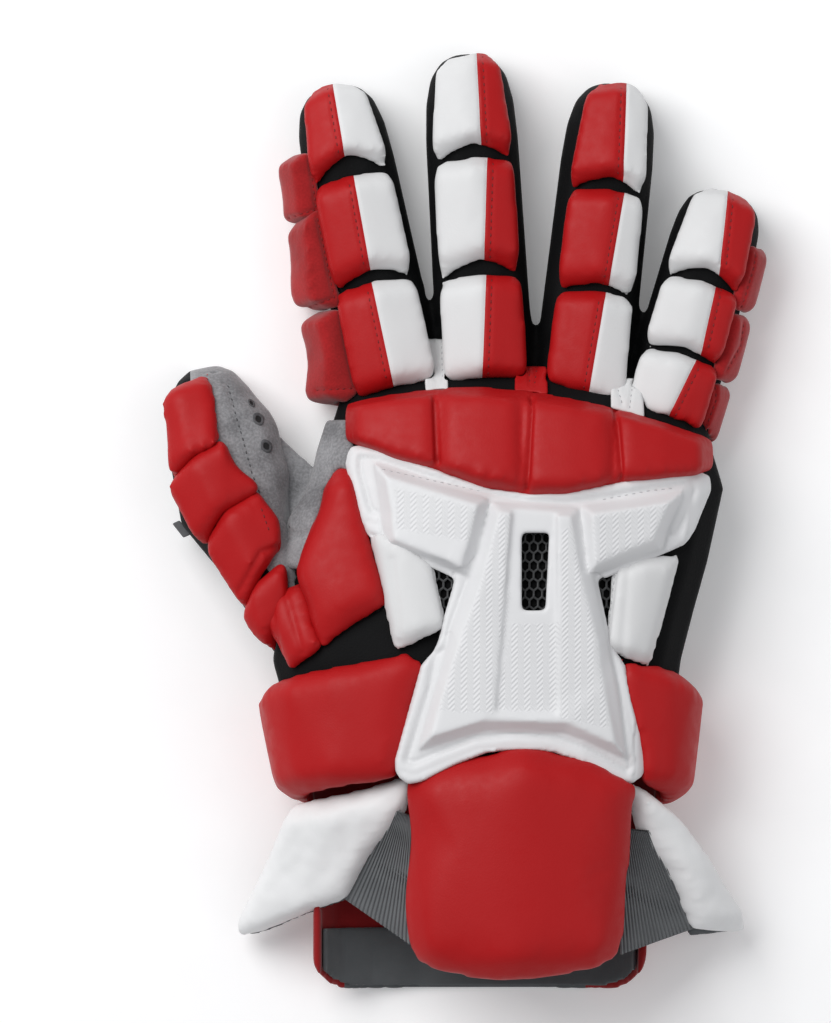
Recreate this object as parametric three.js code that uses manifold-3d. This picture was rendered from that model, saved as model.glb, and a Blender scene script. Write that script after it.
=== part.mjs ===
// A padded lacrosse glove for the right hand, lying palm down: fingers along +Y, thumb towards -X,
// back of the hand up. It is sewn from a hollow fabric shell and a flat palm, with foam pads on the
// fingers, thumb and knuckles, a moulded backhand plate, and a cuff of bands, a flap and two wings.
// Millimetres, +Z up. The origin is the middle of the bounding box, on the surface it lies on.
import * as THREE from "three";
import { mergeVertices } from "three/addons/utils/BufferGeometryUtils.js";
import Module from "manifold-3d";

const wasm = await Module();
wasm.setup();

// Driving sizes of the hand
const MIDDLE_FINGER_LENGTH = 122; // knuckle line to the longest fingertip
const INDEX_FINGER_LENGTH = 113;
const RING_FINGER_LENGTH = 112;
const LITTLE_FINGER_LENGTH = 76;
const PALM_LENGTH = 140; // knuckle line to the end of the fabric shell at the wrist
const CUFF_LENGTH = 68; // end of the shell to the hem of the cuff
const FINGER_PAD_WIDTH = 25.5; // a finger pad between its two sewn edges
const FINGER_SIDE = 3.75; // fabric wall that shows on each side of a pad
const PAD_SPACING = 6.5; // between the pads of two fingers at the knuckles
const FINGER_HEIGHT = 28; // fabric tube of a finger, lying on the palm side
const HAND_HEIGHT = 48; // back of the hand above the surface, without the plate
const THUMB_LENGTH = 101;
const THUMB_WIDTH = 33;
const THUMB_HEIGHT = 32;

// Walls, pads and gaps
const SHELL_WALL = 2.5;
const PALM_THICKNESS = 2;
const CLEARANCE = 0.3; // between any two pieces that touch
const SEWN_EDGE = 2.4; // thickness of a pad where it is sewn down
const FINGER_PAD_HEIGHT = 9.5;
const SIDE_PAD_HEIGHT = 10; // pads on the outer sides of the index and little fingers
const THUMB_PAD_HEIGHT = 8.5;
const KNUCKLE_ROLL_HEIGHT = 13;
const SADDLE_PAD_HEIGHT = 9;
const HAND_SIDE_PAD_HEIGHT = 8.5;
const MESH_THICKNESS = 1.5;
const WEB_THICKNESS = 1.6;
const FLEX_GAP = 1; // between two finger pads at their corners
const FLEX_ARCH = 1.8; // how far the upper edge of a finger pad arches towards the fingertip
const FLEX_OPENING = 5; // height of the gap above it in its middle

// Backhand plate
const PLATE_WIDTH = 126;
const PLATE_LENGTH = 0.843 * PALM_LENGTH;
const FLANGE_THICKNESS = 2.8;
const PLATE_RELIEF = 6.5; // arms and tower above the flange
const PLATE_BEVEL = 3.4; // inset of a raised face from its foot
const WINDOW_WIDTH = 9.6;
const WINDOW_LENGTH = 27;

// Cuff
const BAND_HEIGHT = 9.5;
const FLAP_WIDTH = 76;
const FLAP_HEIGHT = 13;
const FLAP_DROP = 5; // the flap's sides lie this much lower than its middle
const WING_HEIGHT = 9;
const ELASTIC_THICKNESS = 2;
const CUFF_WALL = 3;
const LINING_THICKNESS = 1.5;
const LINING_DROP = 0.9; // from the underside of a wing to its lining
const LINING_LAP = 1.14; // the lining of a wing is longer than the wing by this factor
const CUFF_SIDE_HEIGHT = 27; // the palm side of the cuff turns up to here
const HEM_RADIUS = 15;

const FINGER_WIDTH = FINGER_PAD_WIDTH + 2 * FINGER_SIDE;
const FINGER_PITCH = FINGER_PAD_WIDTH + PAD_SPACING;
const PALM_WIDTH = 4 * FINGER_PITCH;
const SINK = 2; // the round undersides are cut flat where they lie, this far above their lowest line
const SQUARENESS = 2.5; // exponent of the rounded-square sections
const TUBE_SIDES = 12;
const BODY_SIDES = 18;
const SHELL_END = 0.93; // share of the palm length at which the shell gives way to the cuff
const DEGREE = Math.PI / 180;

// Colours and finishes
const material = (color, roughness) =>
  new THREE.MeshStandardMaterial({ color, roughness, metalness: 0 });
const RED_LEATHER = material(0xb22628, 0.5);
const RED_NUBUCK = material(0x9c1a1c, 0.9);
const RED_DARK = material(0x74080b, 0.9);
const WHITE_LEATHER = material(0xdedede, 0.5);
const BLACK_FABRIC = material(0x161819, 0.85);
const BLACK_MESH = material(0x0c0c0d, 0.8);
const GREY_SUEDE = material(0x8a8a8c, 0.95);
const GREY_LINING = material(0x505456, 0.9);
const WHITE_MOULDED = material(0xe2e2e2, 0.6);
const GREY_ELASTIC = material(0x5c5f61, 0.85);

// Solids from rings, sheets and outlines

// A closed solid from vertices and triangles, turned the right way out.
function solidFrom(points, triangles) {
  const raw = new THREE.BufferGeometry().setFromPoints(points);
  raw.setIndex(triangles);
  const merged = mergeVertices(raw, 1e-4);
  const position = merged.getAttribute("position");
  const index = new Uint32Array(merged.index.array);
  const corner = [new THREE.Vector3(), new THREE.Vector3(), new THREE.Vector3()];
  let sixVolumes = 0;
  for (let i = 0; i < index.length; i += 3) {
    corner.forEach((c, k) => c.fromBufferAttribute(position, index[i + k]));
    sixVolumes += corner[0].dot(corner[1].clone().cross(corner[2]));
  }
  const triVerts = sixVolumes > 0 ? index : index.reverse();
  return new wasm.Manifold(
    new wasm.Mesh({ numProp: 3, vertProperties: new Float32Array(position.array), triVerts }),
  );
}

// A tube through rings with the same number of points, closed at both ends.
function loftSolid(rings) {
  const count = rings[0].length;
  const points = rings.flat();
  const triangles = [];
  for (let r = 0; r + 1 < rings.length; r++)
    for (let i = 0; i < count; i++) {
      const a = r * count + i;
      const b = r * count + ((i + 1) % count);
      triangles.push(a, b, a + count, b, b + count, a + count);
    }
  [rings[0], rings[rings.length - 1]].forEach((ring, end) => {
    const middle = ring.reduce((sum, p) => sum.add(p), new THREE.Vector3());
    points.push(middle.divideScalar(count));
    const start = end ? (rings.length - 1) * count : 0;
    for (let i = 0; i < count; i++) {
      const a = start + i;
      const b = start + ((i + 1) % count);
      triangles.push(points.length - 1, ...(end ? [a, b] : [b, a]));
    }
  });
  return solidFrom(points, triangles);
}

// A sheet between an upper and a lower surface, each a function of u and v from -1 to 1.
function sheetSolid(us, vs, upper, lower) {
  const points = [];
  const triangles = [];
  const columns = us.length;
  const layer = columns * vs.length;
  for (const surface of [upper, lower])
    for (const v of vs) for (const u of us) points.push(surface(u, v));
  for (let row = 0; row + 1 < vs.length; row++)
    for (let column = 0; column + 1 < columns; column++) {
      const a = row * columns + column;
      const c = a + columns;
      triangles.push(a, a + 1, c + 1, a, c + 1, c);
      triangles.push(layer + a, layer + c + 1, layer + a + 1, layer + a, layer + c, layer + c + 1);
    }
  const edge = [];
  for (let i = 0; i < columns - 1; i++) edge.push(i);
  for (let i = 0; i < vs.length - 1; i++) edge.push(i * columns + columns - 1);
  for (let i = columns - 1; i > 0; i--) edge.push((vs.length - 1) * columns + i);
  for (let i = vs.length - 1; i > 0; i--) edge.push(i * columns);
  edge.forEach((a, i) => {
    const b = edge[(i + 1) % edge.length];
    triangles.push(a, layer + a, b, b, layer + a, layer + b);
  });
  return solidFrom(points, triangles);
}

// An upright prism over an outline of [x, y] points.
function prismSolid(outline, low, high) {
  const shape = new THREE.Shape(outline.map(([x, y]) => new THREE.Vector2(x, y)));
  const geometry = new THREE.ExtrudeGeometry(shape, { depth: high - low, bevelEnabled: false });
  geometry.deleteAttribute("normal");
  geometry.deleteAttribute("uv");
  geometry.translate(0, 0, low);
  const merged = mergeVertices(geometry, 1e-4);
  const position = merged.getAttribute("position");
  const points = [];
  for (let i = 0; i < position.count; i++)
    points.push(new THREE.Vector3().fromBufferAttribute(position, i));
  return solidFrom(points, [...merged.index.array]);
}

function nodeMesh(name, solid, finish) {
  const mesh = solid.getMesh();
  const geometry = new THREE.BufferGeometry();
  const positions = new Float32Array(mesh.numVert * 3);
  for (let i = 0; i < mesh.numVert; i++)
    positions.set(mesh.vertProperties.subarray(i * mesh.numProp, i * mesh.numProp + 3), i * 3);
  geometry.setAttribute("position", new THREE.BufferAttribute(positions, 3));
  geometry.setIndex(new THREE.BufferAttribute(mesh.triVerts, 1));
  geometry.computeVertexNormals();
  const node = new THREE.Mesh(geometry, finish);
  node.name = name;
  return node;
}

// Sections of the hand

// Cosine and sine of a rounded square, for an angle in degrees.
function roundedSquare(angle) {
  const power = 2 / SQUARENESS;
  const c = Math.cos(angle * DEGREE);
  const s = Math.sin(angle * DEGREE);
  return [Math.sign(c) * Math.abs(c) ** power, Math.sign(s) * Math.abs(s) ** power];
}

// Every column of a table, between the two rows around a value of its key.
function between(rows, key, value) {
  const last = rows.length - 1;
  const clamped = Math.min(Math.max(value, rows[0][key]), rows[last][key]);
  let i = 0;
  while (i < last - 1 && rows[i + 1][key] < clamped) i++;
  const share = (clamped - rows[i][key]) / (rows[i + 1][key] - rows[i][key]);
  const mixed = {};
  for (const column of Object.keys(rows[i]))
    mixed[column] = THREE.MathUtils.lerp(rows[i][column], rows[i + 1][column], share);
  return mixed;
}

// The hand and cuff from the knuckles towards the hem. along is a share of the palm length up to 1
// and of the cuff length from there to 2; left and right are shares of the palm width; top is a
// share of the hand height.
const BODY_ROWS = [
  { along: -0.055, left: -0.47, right: 0.45, top: 0.62 },
  { along: 0, left: -0.53, right: 0.47, top: 0.76 },
  { along: 0.13, left: -0.575, right: 0.5, top: 0.89 },
  { along: 0.22, left: -0.595, right: 0.53, top: 0.945 },
  { along: 0.4, left: -0.65, right: 0.487, top: 0.98 },
  { along: 0.52, left: -0.69, right: 0.45, top: 1 },
  { along: 0.65, left: -0.715, right: 0.413, top: 1.02 },
  { along: 0.78, left: -0.675, right: 0.395, top: 1.04 },
  { along: 0.93, left: -0.645, right: 0.375, top: 1.07 },
  { along: 1, left: -0.625, right: 0.365, top: 1.08 },
  { along: 1.5, left: -0.605, right: 0.325, top: 1.1 },
  { along: 2, left: -0.605, right: 0.317, top: 1.1 },
];

const planY = (along) =>
  along <= 1 ? -along * PALM_LENGTH : -PALM_LENGTH - (along - 1) * CUFF_LENGTH;
const alongAt = (y) =>
  y >= -PALM_LENGTH ? -y / PALM_LENGTH : 1 - (y + PALM_LENGTH) / CUFF_LENGTH;

function bodySection(y, lift) {
  const row = between(BODY_ROWS, "along", alongAt(y));
  const top = row.top * HAND_HEIGHT;
  return {
    middle: (PALM_WIDTH * (row.left + row.right)) / 2,
    halfWidth: (PALM_WIDTH * (row.right - row.left)) / 2 + lift,
    centre: (top - SINK) / 2,
    halfHeight: (top + SINK) / 2 + lift,
  };
}

// A point above the body's skin at an angle: 0 is the little finger's side, 90 the back of the hand.
function bodyPoint(angle, y, lift) {
  const section = bodySection(y, lift);
  const [c, s] = roundedSquare(angle);
  return new THREE.Vector3(
    section.middle + section.halfWidth * c,
    y,
    section.centre + section.halfHeight * s,
  );
}

// The angle at which the body's skin, raised by lift, has this x.
function bodyAngle(x, y, lift) {
  const section = bodySection(y, lift);
  const c = THREE.MathUtils.clamp((x - section.middle) / section.halfWidth, -0.99, 0.99);
  return Math.acos(Math.sign(c) * Math.abs(c) ** (SQUARENESS / 2)) / DEGREE;
}

const overBody = (x, y, lift) => bodyPoint(bodyAngle(x, y, lift), y, lift);

// Fingers. base is a share of the palm width; lean is in degrees towards the thumb; bare is by how
// many degrees its pads stop short on the left; flex holds the middles of the gaps between the pads,
// as shares of the finger's length, and open how far each gap gapes, in flex openings.
const FINGERS = [
  {
    name: "index",
    length: INDEX_FINGER_LENGTH,
    base: -0.364,
    lean: 12,
    girth: 1,
    flex: [0.022, 0.363, 0.7],
    open: [0.15, 0.8, 1.5],
  },
  {
    name: "middle",
    length: MIDDLE_FINGER_LENGTH,
    base: -0.122,
    lean: 3.3,
    girth: 1,
    flex: [0.037, 0.35, 0.686],
    open: [0.3, 1, 1],
  },
  {
    name: "ring",
    bare: 6,
    length: RING_FINGER_LENGTH,
    base: 0.133,
    lean: -6.5,
    girth: 1,
    flex: [0.009, 0.333, 0.652],
    open: [0.3, 0.5, 0.9],
  },
  {
    name: "little",
    length: LITTLE_FINGER_LENGTH,
    base: 0.375,
    lean: -16,
    girth: 0.95,
    flex: [-0.14, 0.2, 0.55],
    open: [0.3, 0.5, 1],
  },
];

// A finger's tube: along is a share of its length, width and height are shares of its section.
const FINGER_ROWS = [
  { along: -0.24, width: 1, height: 0.9 },
  { along: 0, width: 1.06, height: 1 },
  { along: 0.75, width: 0.99, height: 0.96 },
  { along: 0.86, width: 0.94, height: 0.9 },
  { along: 0.935, width: 0.81, height: 0.8 },
  { along: 0.98, width: 0.57, height: 0.62 },
  { along: 1, width: 0.27, height: 0.4 },
];

// The thumb's tube, which bends: lean is in degrees towards -X.
const THUMB_BASE = { across: -0.62, along: 0.59 };
const THUMB_ROWS = [
  { along: -0.12, width: 0.7, height: 1.06, lean: 32 },
  { along: 0.1, width: 0.78, height: 1.06, lean: 31 },
  { along: 0.3, width: 0.86, height: 1.04, lean: 26 },
  { along: 0.5, width: 0.95, height: 1.02, lean: 22 },
  { along: 0.7, width: 1, height: 1, lean: 15 },
  { along: 0.82, width: 0.99, height: 0.96, lean: 12 },
  { along: 0.91, width: 0.83, height: 0.84, lean: 11 },
  { along: 0.97, width: 0.6, height: 0.64, lean: 11 },
  { along: 1, width: 0.3, height: 0.4, lean: 11 },
];

const leanVector = (lean) => [-Math.sin(lean * DEGREE), Math.cos(lean * DEGREE)];

// Each limb has a section at a length along it and an axis point there.
function limbPoint(limb, along, angle, lift) {
  const { axis, lean, halfWidth, height } = limb.at(along);
  const [c, s] = roundedSquare(angle);
  const [forwardX, forwardY] = leanVector(lean);
  const across = (halfWidth + lift) * c;
  const centre = (height - SINK) / 2;
  return new THREE.Vector3(
    axis[0] + forwardY * across,
    axis[1] - forwardX * across,
    centre + ((height + SINK) / 2 + lift) * s,
  );
}

function limbSolid(limb, lift) {
  const rings = limb.stops.map((stop, i) => {
    const grown = i === limb.stops.length - 1 ? stop + lift : stop;
    return ringOf(TUBE_SIDES, (angle) => limbPoint(limb, grown, angle, lift));
  });
  return loftSolid(rings);
}

const ringOf = (sides, point) =>
  Array.from({ length: sides }, (unused, i) => point(((i + 0.5) * 360) / sides));

function fingerLimb(finger) {
  const [forwardX, forwardY] = leanVector(finger.lean);
  const baseX = finger.base * PALM_WIDTH;
  return {
    stops: FINGER_ROWS.map((row) => row.along * finger.length),
    at(along) {
      const row = between(FINGER_ROWS, "along", along / finger.length);
      return {
        axis: [baseX + forwardX * along, forwardY * along],
        lean: finger.lean,
        halfWidth: (FINGER_WIDTH * finger.girth * row.width) / 2,
        height: FINGER_HEIGHT * row.height,
      };
    },
  };
}

const THUMB_STEPS = 48; // steps in which the thumb's bent axis is followed

const thumbLimb = {
  stops: THUMB_ROWS.map((row) => row.along * THUMB_LENGTH),
  at(along) {
    const row = between(THUMB_ROWS, "along", along / THUMB_LENGTH);
    const axis = [THUMB_BASE.across * PALM_WIDTH, planY(THUMB_BASE.along)];
    for (let i = 0; i < THUMB_STEPS; i++) {
      const here = ((i + 0.5) / THUMB_STEPS) * along;
      const [x, y] = leanVector(between(THUMB_ROWS, "along", here / THUMB_LENGTH).lean);
      axis[0] += (x * along) / THUMB_STEPS;
      axis[1] += (y * along) / THUMB_STEPS;
    }
    return {
      axis,
      lean: row.lean,
      halfWidth: (THUMB_WIDTH * row.width) / 2,
      height: THUMB_HEIGHT * row.height,
    };
  },
};

const fingerLimbs = Object.fromEntries(FINGERS.map((f) => [f.name, fingerLimb(f)]));

// The body from the knuckles to the wrist. reach moves its wrist end.
function bodySolid(lift, reach) {
  const rows = BODY_ROWS.filter((row) => row.along <= SHELL_END);
  const rings = rows.map((row, i) => {
    const end = i === 0 ? lift : i === rows.length - 1 ? -reach : 0;
    const y = planY(row.along);
    const section = bodySection(y, lift);
    return ringOf(BODY_SIDES, (angle) => {
      const [c, s] = roundedSquare(angle);
      return new THREE.Vector3(
        section.middle + section.halfWidth * c,
        y + end,
        section.centre + section.halfHeight * s,
      );
    });
  });
  return loftSolid(rings);
}

// The whole hand without its thumb, grown by lift.
function handSolid(lift, reach = lift) {
  return wasm.Manifold.union([
    bodySolid(lift, reach),
    ...Object.values(fingerLimbs).map((limb) => limbSolid(limb, lift)),
  ]);
}

const abovePlane = (solid, height) => solid.trimByPlane([0, 0, 1], height);
const belowPlane = (solid, height) => solid.trimByPlane([0, 0, -1], -height);

const handOuter = handSolid(0);
const handGrown = handSolid(CLEARANCE);
const handCavity = handSolid(-SHELL_WALL, SHELL_WALL);
const thumbOuter = limbSolid(thumbLimb, 0);
const thumbGrown = limbSolid(thumbLimb, CLEARANCE);
const thumbCavity = limbSolid(thumbLimb, -SHELL_WALL);
const bodyGrown = wasm.Manifold.union(handGrown, thumbGrown);

// Pads

// The height of a stuffed pad over its area: full in the middle, down to nothing at its seams.
const crown = (u, v) => ((1 - Math.abs(u) ** 3) * (1 - Math.abs(v) ** 4)) ** 0.42;
const PAD_US = [-1, -0.78, 0, 0.78, 1];
const PAD_VS = [-1, -0.76, 0.76, 1];

// A pad over a skin. place(u, v, lift) gives a point above the skin; size is the pad's own half
// width and half length, used to grow it by the clearance when it cuts its neighbours.
function padBlank(pad, grow = 0) {
  const [halfWidth, halfLength] = pad.size;
  const us = pad.us ?? PAD_US;
  const vs = pad.vs ?? PAD_VS;
  const profile = pad.crown ?? crown;
  const edge = pad.edge ?? SEWN_EDGE;
  const wider = 1 + grow / halfWidth;
  const longer = 1 + grow / halfLength;
  const upper = (u, v) =>
    pad.place(u * wider, v * longer, edge + (pad.height - edge) * profile(u, v) + grow);
  const lower = (u, v) => pad.place(u * wider, v * longer, (pad.foot ?? -1.2) - grow);
  return sheetSolid(us, vs, upper, lower);
}

const lerp = THREE.MathUtils.lerp;
const share = (v) => (v + 1) / 2; // from -1..1 to 0..1
const bow = (u) => Math.max(0, 1 - u * u); // 1 in the middle of an edge, 0 at its ends

// A pad wrapped round a limb: its ends are given by from and to at the left (high angle) side and
// by slant at the right, and arch towards the tip.
function limbPad(limb, pad) {
  const { from, to, left, right, height, archFrom, archTo, slant = 0, narrow = 0 } = pad;
  const middle = limb.at((from + to) / 2);
  return {
    height,
    size: [((left - right) * DEGREE * middle.halfWidth) / 2, (to - from) / 2],
    place(u, v, lift) {
      const start = from + archFrom * bow(u) + slant * share(u);
      const end = to + archTo * bow(u) + slant * share(u);
      const inner = right + narrow * share(v);
      return limbPoint(limb, lerp(start, end, share(v)), lerp(left, inner, share(u)), lift);
    },
  };
}

// A pad on the body, over a plan quadrilateral. Corners are [across, along] shares; bulges are in
// millimetres, outwards: upper and lower along Y, left and right along X.
const planX = (across) => across * PALM_WIDTH;

function planQuad({ corners, bulge = {} }) {
  const [topLeft, topRight, bottomRight, bottomLeft] = corners.map(([across, along]) => [
    planX(across),
    planY(along),
  ]);
  const { upper = 0, lower = 0, left = 0, right = 0 } = bulge;
  return (u, v) => {
    const s = share(u);
    const t = share(v);
    const x = lerp(lerp(bottomLeft[0], bottomRight[0], s), lerp(topLeft[0], topRight[0], s), t);
    const y = lerp(lerp(bottomLeft[1], bottomRight[1], s), lerp(topLeft[1], topRight[1], s), t);
    return [
      x + bow(v) * (right * s - left * (1 - s)),
      y + bow(u) * (upper * t - lower * (1 - t)),
    ];
  };
}

function bodyPad({ corners, bulge, height, ...rest }) {
  const plan = planQuad({ corners, bulge });
  const [x0, y0] = plan(-1, -1);
  const [x1, y1] = plan(1, 1);
  return {
    height,
    size: [Math.abs(x1 - x0) / 2, Math.abs(y1 - y0) / 2],
    place(u, v, lift) {
      const [x, y] = plan(u, v);
      return overBody(x, y, lift);
    },
    ...rest,
  };
}

// Finger pads: three on each finger, sewn down with gaps that let it bend
const PAD_EDGE_ANGLE = 51; // where the sewn edges of a finger pad lie, up from the palm

const fingerPads = FINGERS.flatMap((finger) => {
  const limb = fingerLimbs[finger.name];
  const starts = finger.flex.map((flex) => flex * finger.length + FLEX_GAP / 2);
  return starts.map((from, i) => {
    const distal = i === starts.length - 1;
    return {
      name: `${finger.name}_pad_${i + 1}`,
      pad: limbPad(limb, {
        from,
        to: distal ? finger.length * 0.985 : starts[i + 1] - FLEX_GAP,
        left: 180 - PAD_EDGE_ANGLE - (finger.bare ?? 0),
        right: PAD_EDGE_ANGLE,
        height: FINGER_PAD_HEIGHT,
        archFrom: FLEX_ARCH + FLEX_OPENING * finger.open[i],
        archTo: distal ? 0 : FLEX_ARCH,
      }),
    };
  });
});

// Side pads on the outer sides of the index and little fingers, as shares of the finger's length
const SIDE_PAD_ROWS = [
  { finger: "index", from: 0.02, to: 0.31, left: 208, right: 131, thickness: 1.25 },
  { finger: "index", from: 0.325, to: 0.6, left: 205, right: 131, thickness: 1.15 },
  { finger: "index", from: 0.615, to: 0.81, left: 203, right: 131, thickness: 0.9 },
  { finger: "little", from: -0.14, to: 0.135, left: 49, right: -25, thickness: 0.45 },
  { finger: "little", from: 0.155, to: 0.47, left: 49, right: -22, thickness: 0.55 },
  { finger: "little", from: 0.49, to: 0.79, left: 49, right: -20, thickness: 0.5 },
];

const padCount = {};
const sidePads = SIDE_PAD_ROWS.map((row) => {
  const length = FINGERS.find((f) => f.name === row.finger).length;
  padCount[row.finger] = (padCount[row.finger] ?? 0) + 1;
  return {
    name: `${row.finger}_side_pad_${padCount[row.finger]}`,
    pad: limbPad(fingerLimbs[row.finger], {
      ...row,
      from: row.from * length,
      to: row.to * length,
      height: row.thickness * SIDE_PAD_HEIGHT,
      archFrom: 0,
      archTo: 0,
    }),
  };
});

// Thumb pads from its base to its tip. from and to are shares of the thumb's length at the pad's
// outer side; slant is how much further along the inner side lies; narrow is by how many degrees
// the inner edge moves outwards over the pad's length.
const THUMB_PAD_ROWS = [
  { from: 0.01, to: 0.15, left: 138, right: 98, narrow: -28, slant: 0.11 },
  { from: 0.16, to: 0.4, left: 138, right: 56, narrow: -6, slant: 0.135 },
  { from: 0.41, to: 0.63, left: 138, right: 50, narrow: 22, slant: 0.105 },
  { from: 0.64, to: 0.93, left: 140, right: 80, narrow: 6, slant: 0.05 },
];
const THUMB_PAD_ARCH = 3.5;

const thumbPads = THUMB_PAD_ROWS.map(({ from, to, left, right, narrow, slant }, i) => ({
  name: `thumb_pad_${i + 1}`,
  pad: limbPad(thumbLimb, {
    from: from * THUMB_LENGTH,
    to: to * THUMB_LENGTH,
    slant: slant * THUMB_LENGTH,
    left,
    right,
    narrow,
    height: THUMB_PAD_HEIGHT,
    archFrom: i === 0 ? 0 : THUMB_PAD_ARCH,
    archTo: i === THUMB_PAD_ROWS.length - 1 ? 0 : THUMB_PAD_ARCH,
  }),
}));

// Knuckle roll: one long pad of four lobes. upper and lower are its edges, as along shares.
const ROLL_ROWS = [
  { across: -0.506, upper: 0.012, lower: 0.1 },
  { across: -0.375, upper: -0.01, lower: 0.134 },
  { across: -0.257, upper: -0.024, lower: 0.163 },
  { across: -0.142, upper: -0.0275, lower: 0.203 },
  { across: -0.014, upper: -0.018, lower: 0.226 },
  { across: 0.118, upper: 0.0025, lower: 0.222 },
  { across: 0.235, upper: 0.0275, lower: 0.193 },
  { across: 0.364, upper: 0.0625, lower: 0.18 },
  { across: 0.49, upper: 0.1, lower: 0.168 },
];
const ROLL_SEAMS = [-1, -0.49, -0.04, 0.46, 1]; // seams between the lobes, from -1 to 1
const ROLL_SEAM_DEPTH = 0.42; // share of the roll's height that its inner seams take away
const ROLL_US = ROLL_SEAMS.slice(0, -1)
  .flatMap((left, i) => {
    const width = ROLL_SEAMS[i + 1] - left;
    return [left, left + 0.14 * width, left + 0.5 * width, left + 0.86 * width];
  })
  .concat(1);

const knuckleRoll = {
  height: KNUCKLE_ROLL_HEIGHT,
  size: [PALM_WIDTH / 2, PALM_LENGTH * 0.1],
  us: ROLL_US,
  crown(u, v) {
    const lobe = ROLL_SEAMS.findIndex((seam, i) => i > 0 && u <= seam) - 1;
    const left = ROLL_SEAMS[lobe];
    const inLobe = (2 * (u - left)) / (ROLL_SEAMS[lobe + 1] - left) - 1;
    const outside = Math.abs(u) > 0.999 ? 0 : 1;
    const lobed = 1 - ROLL_SEAM_DEPTH * Math.abs(inLobe) ** 6;
    return outside * lobed * (1 - Math.abs(v) ** 4) ** 0.42;
  },
  place(u, v, lift) {
    const first = ROLL_ROWS[0].across;
    const last = ROLL_ROWS[ROLL_ROWS.length - 1].across;
    const across = lerp(first, last, share(u));
    const row = between(ROLL_ROWS, "across", across);
    const y = planY(lerp(row.lower, row.upper, share(v)));
    const x = planX(across);
    return overBody(x, y, lift);
  },
};

// Pads on the body: corners run top left, top right, bottom right, bottom left.
const saddlePad = bodyPad({
  corners: [
    [-0.53, 0.17],
    [-0.498, 0.175],
    [-0.396, 0.507],
    [-0.574, 0.605],
  ],
  bulge: { left: 8.5 },
  height: SADDLE_PAD_HEIGHT,
});
const leftHandPad = bodyPad({
  corners: [
    [-0.443, 0.33],
    [-0.282, 0.37],
    [-0.235, 0.57],
    [-0.372, 0.625],
  ],
  height: HAND_SIDE_PAD_HEIGHT,
});
const rightHandPad = bodyPad({
  corners: [
    [0.222, 0.418],
    [0.399, 0.39],
    [0.316, 0.67],
    [0.2, 0.62],
  ],
  height: HAND_SIDE_PAD_HEIGHT,
});
const FLAT = () => 0;
const SHEET_VS = [-1, -0.5, 0, 0.5, 1];
const meshPanel = bodyPad({
  corners: [
    [-0.44, 0.2],
    [0.43, 0.235],
    [0.25, 0.88],
    [-0.33, 0.88],
  ],
  height: MESH_THICKNESS + CLEARANCE,
  edge: MESH_THICKNESS + CLEARANCE,
  crown: FLAT,
  us: [-1, -0.67, -0.33, 0, 0.33, 0.67, 1],
  vs: [-1, -0.33, 0.33, 1],
});

// Pieces laid over the hand and thumb together, by height above the surface
const SKIN_SOFTNESS = 2.5; // how roundly the skins of two limbs meet
const AXIS_SAMPLES = 24;

function limbSamples(limb) {
  const first = limb.stops[0];
  const last = limb.stops[limb.stops.length - 1];
  return Array.from({ length: AXIS_SAMPLES + 1 }, (unused, i) =>
    limb.at(lerp(first, last, i / AXIS_SAMPLES)),
  );
}

const sampledLimbs = [thumbLimb, ...Object.values(fingerLimbs)].map(limbSamples);

const arch = (offset, halfWidth) =>
  (1 - Math.min(1, Math.abs(offset / halfWidth)) ** SQUARENESS) ** (1 / SQUARENESS);

function limbHeight(samples, x, y) {
  const distance = ({ axis }) => Math.hypot(x - axis[0], y - axis[1]);
  const nearest = samples.reduce((best, here) => (distance(here) < distance(best) ? here : best));
  const [forwardX, forwardY] = leanVector(nearest.lean);
  const across = (x - nearest.axis[0]) * forwardY - (y - nearest.axis[1]) * forwardX;
  const beyond = (x - nearest.axis[0]) * forwardX + (y - nearest.axis[1]) * forwardY;
  const rise = arch(across, nearest.halfWidth) - Math.max(0, Math.abs(beyond) / 8 - 1);
  return (nearest.height - SINK) / 2 + ((nearest.height + SINK) / 2) * rise;
}

function bodyHeight(x, y) {
  const section = bodySection(y, 0);
  const past = Math.max(0, y - planY(BODY_ROWS[0].along)) / 8;
  return section.centre + section.halfHeight * (arch(x - section.middle, section.halfWidth) - past);
}

function skinHeight(x, y) {
  const heights = [bodyHeight(x, y), ...sampledLimbs.map((samples) => limbHeight(samples, x, y))];
  const sum = heights.reduce((total, z) => total + Math.exp(z / SKIN_SOFTNESS), 0);
  return SKIN_SOFTNESS * Math.log(sum);
}

function skinPad({ corners, bulge, height, ...rest }) {
  const plan = planQuad({ corners, bulge });
  const [x0, y0] = plan(-1, -1);
  const [x1, y1] = plan(1, 1);
  return {
    height,
    size: [Math.abs(x1 - x0) / 2, Math.abs(y1 - y0) / 2],
    place(u, v, lift) {
      const [x, y] = plan(u, v);
      return new THREE.Vector3(x, y, skinHeight(x, y) + lift);
    },
    ...rest,
  };
}

const thumbBasePad = skinPad({
  corners: [
    [-0.713, 0.495],
    [-0.632, 0.462],
    [-0.569, 0.612],
    [-0.66, 0.675],
  ],
  height: SADDLE_PAD_HEIGHT * 0.7,
});

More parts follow.
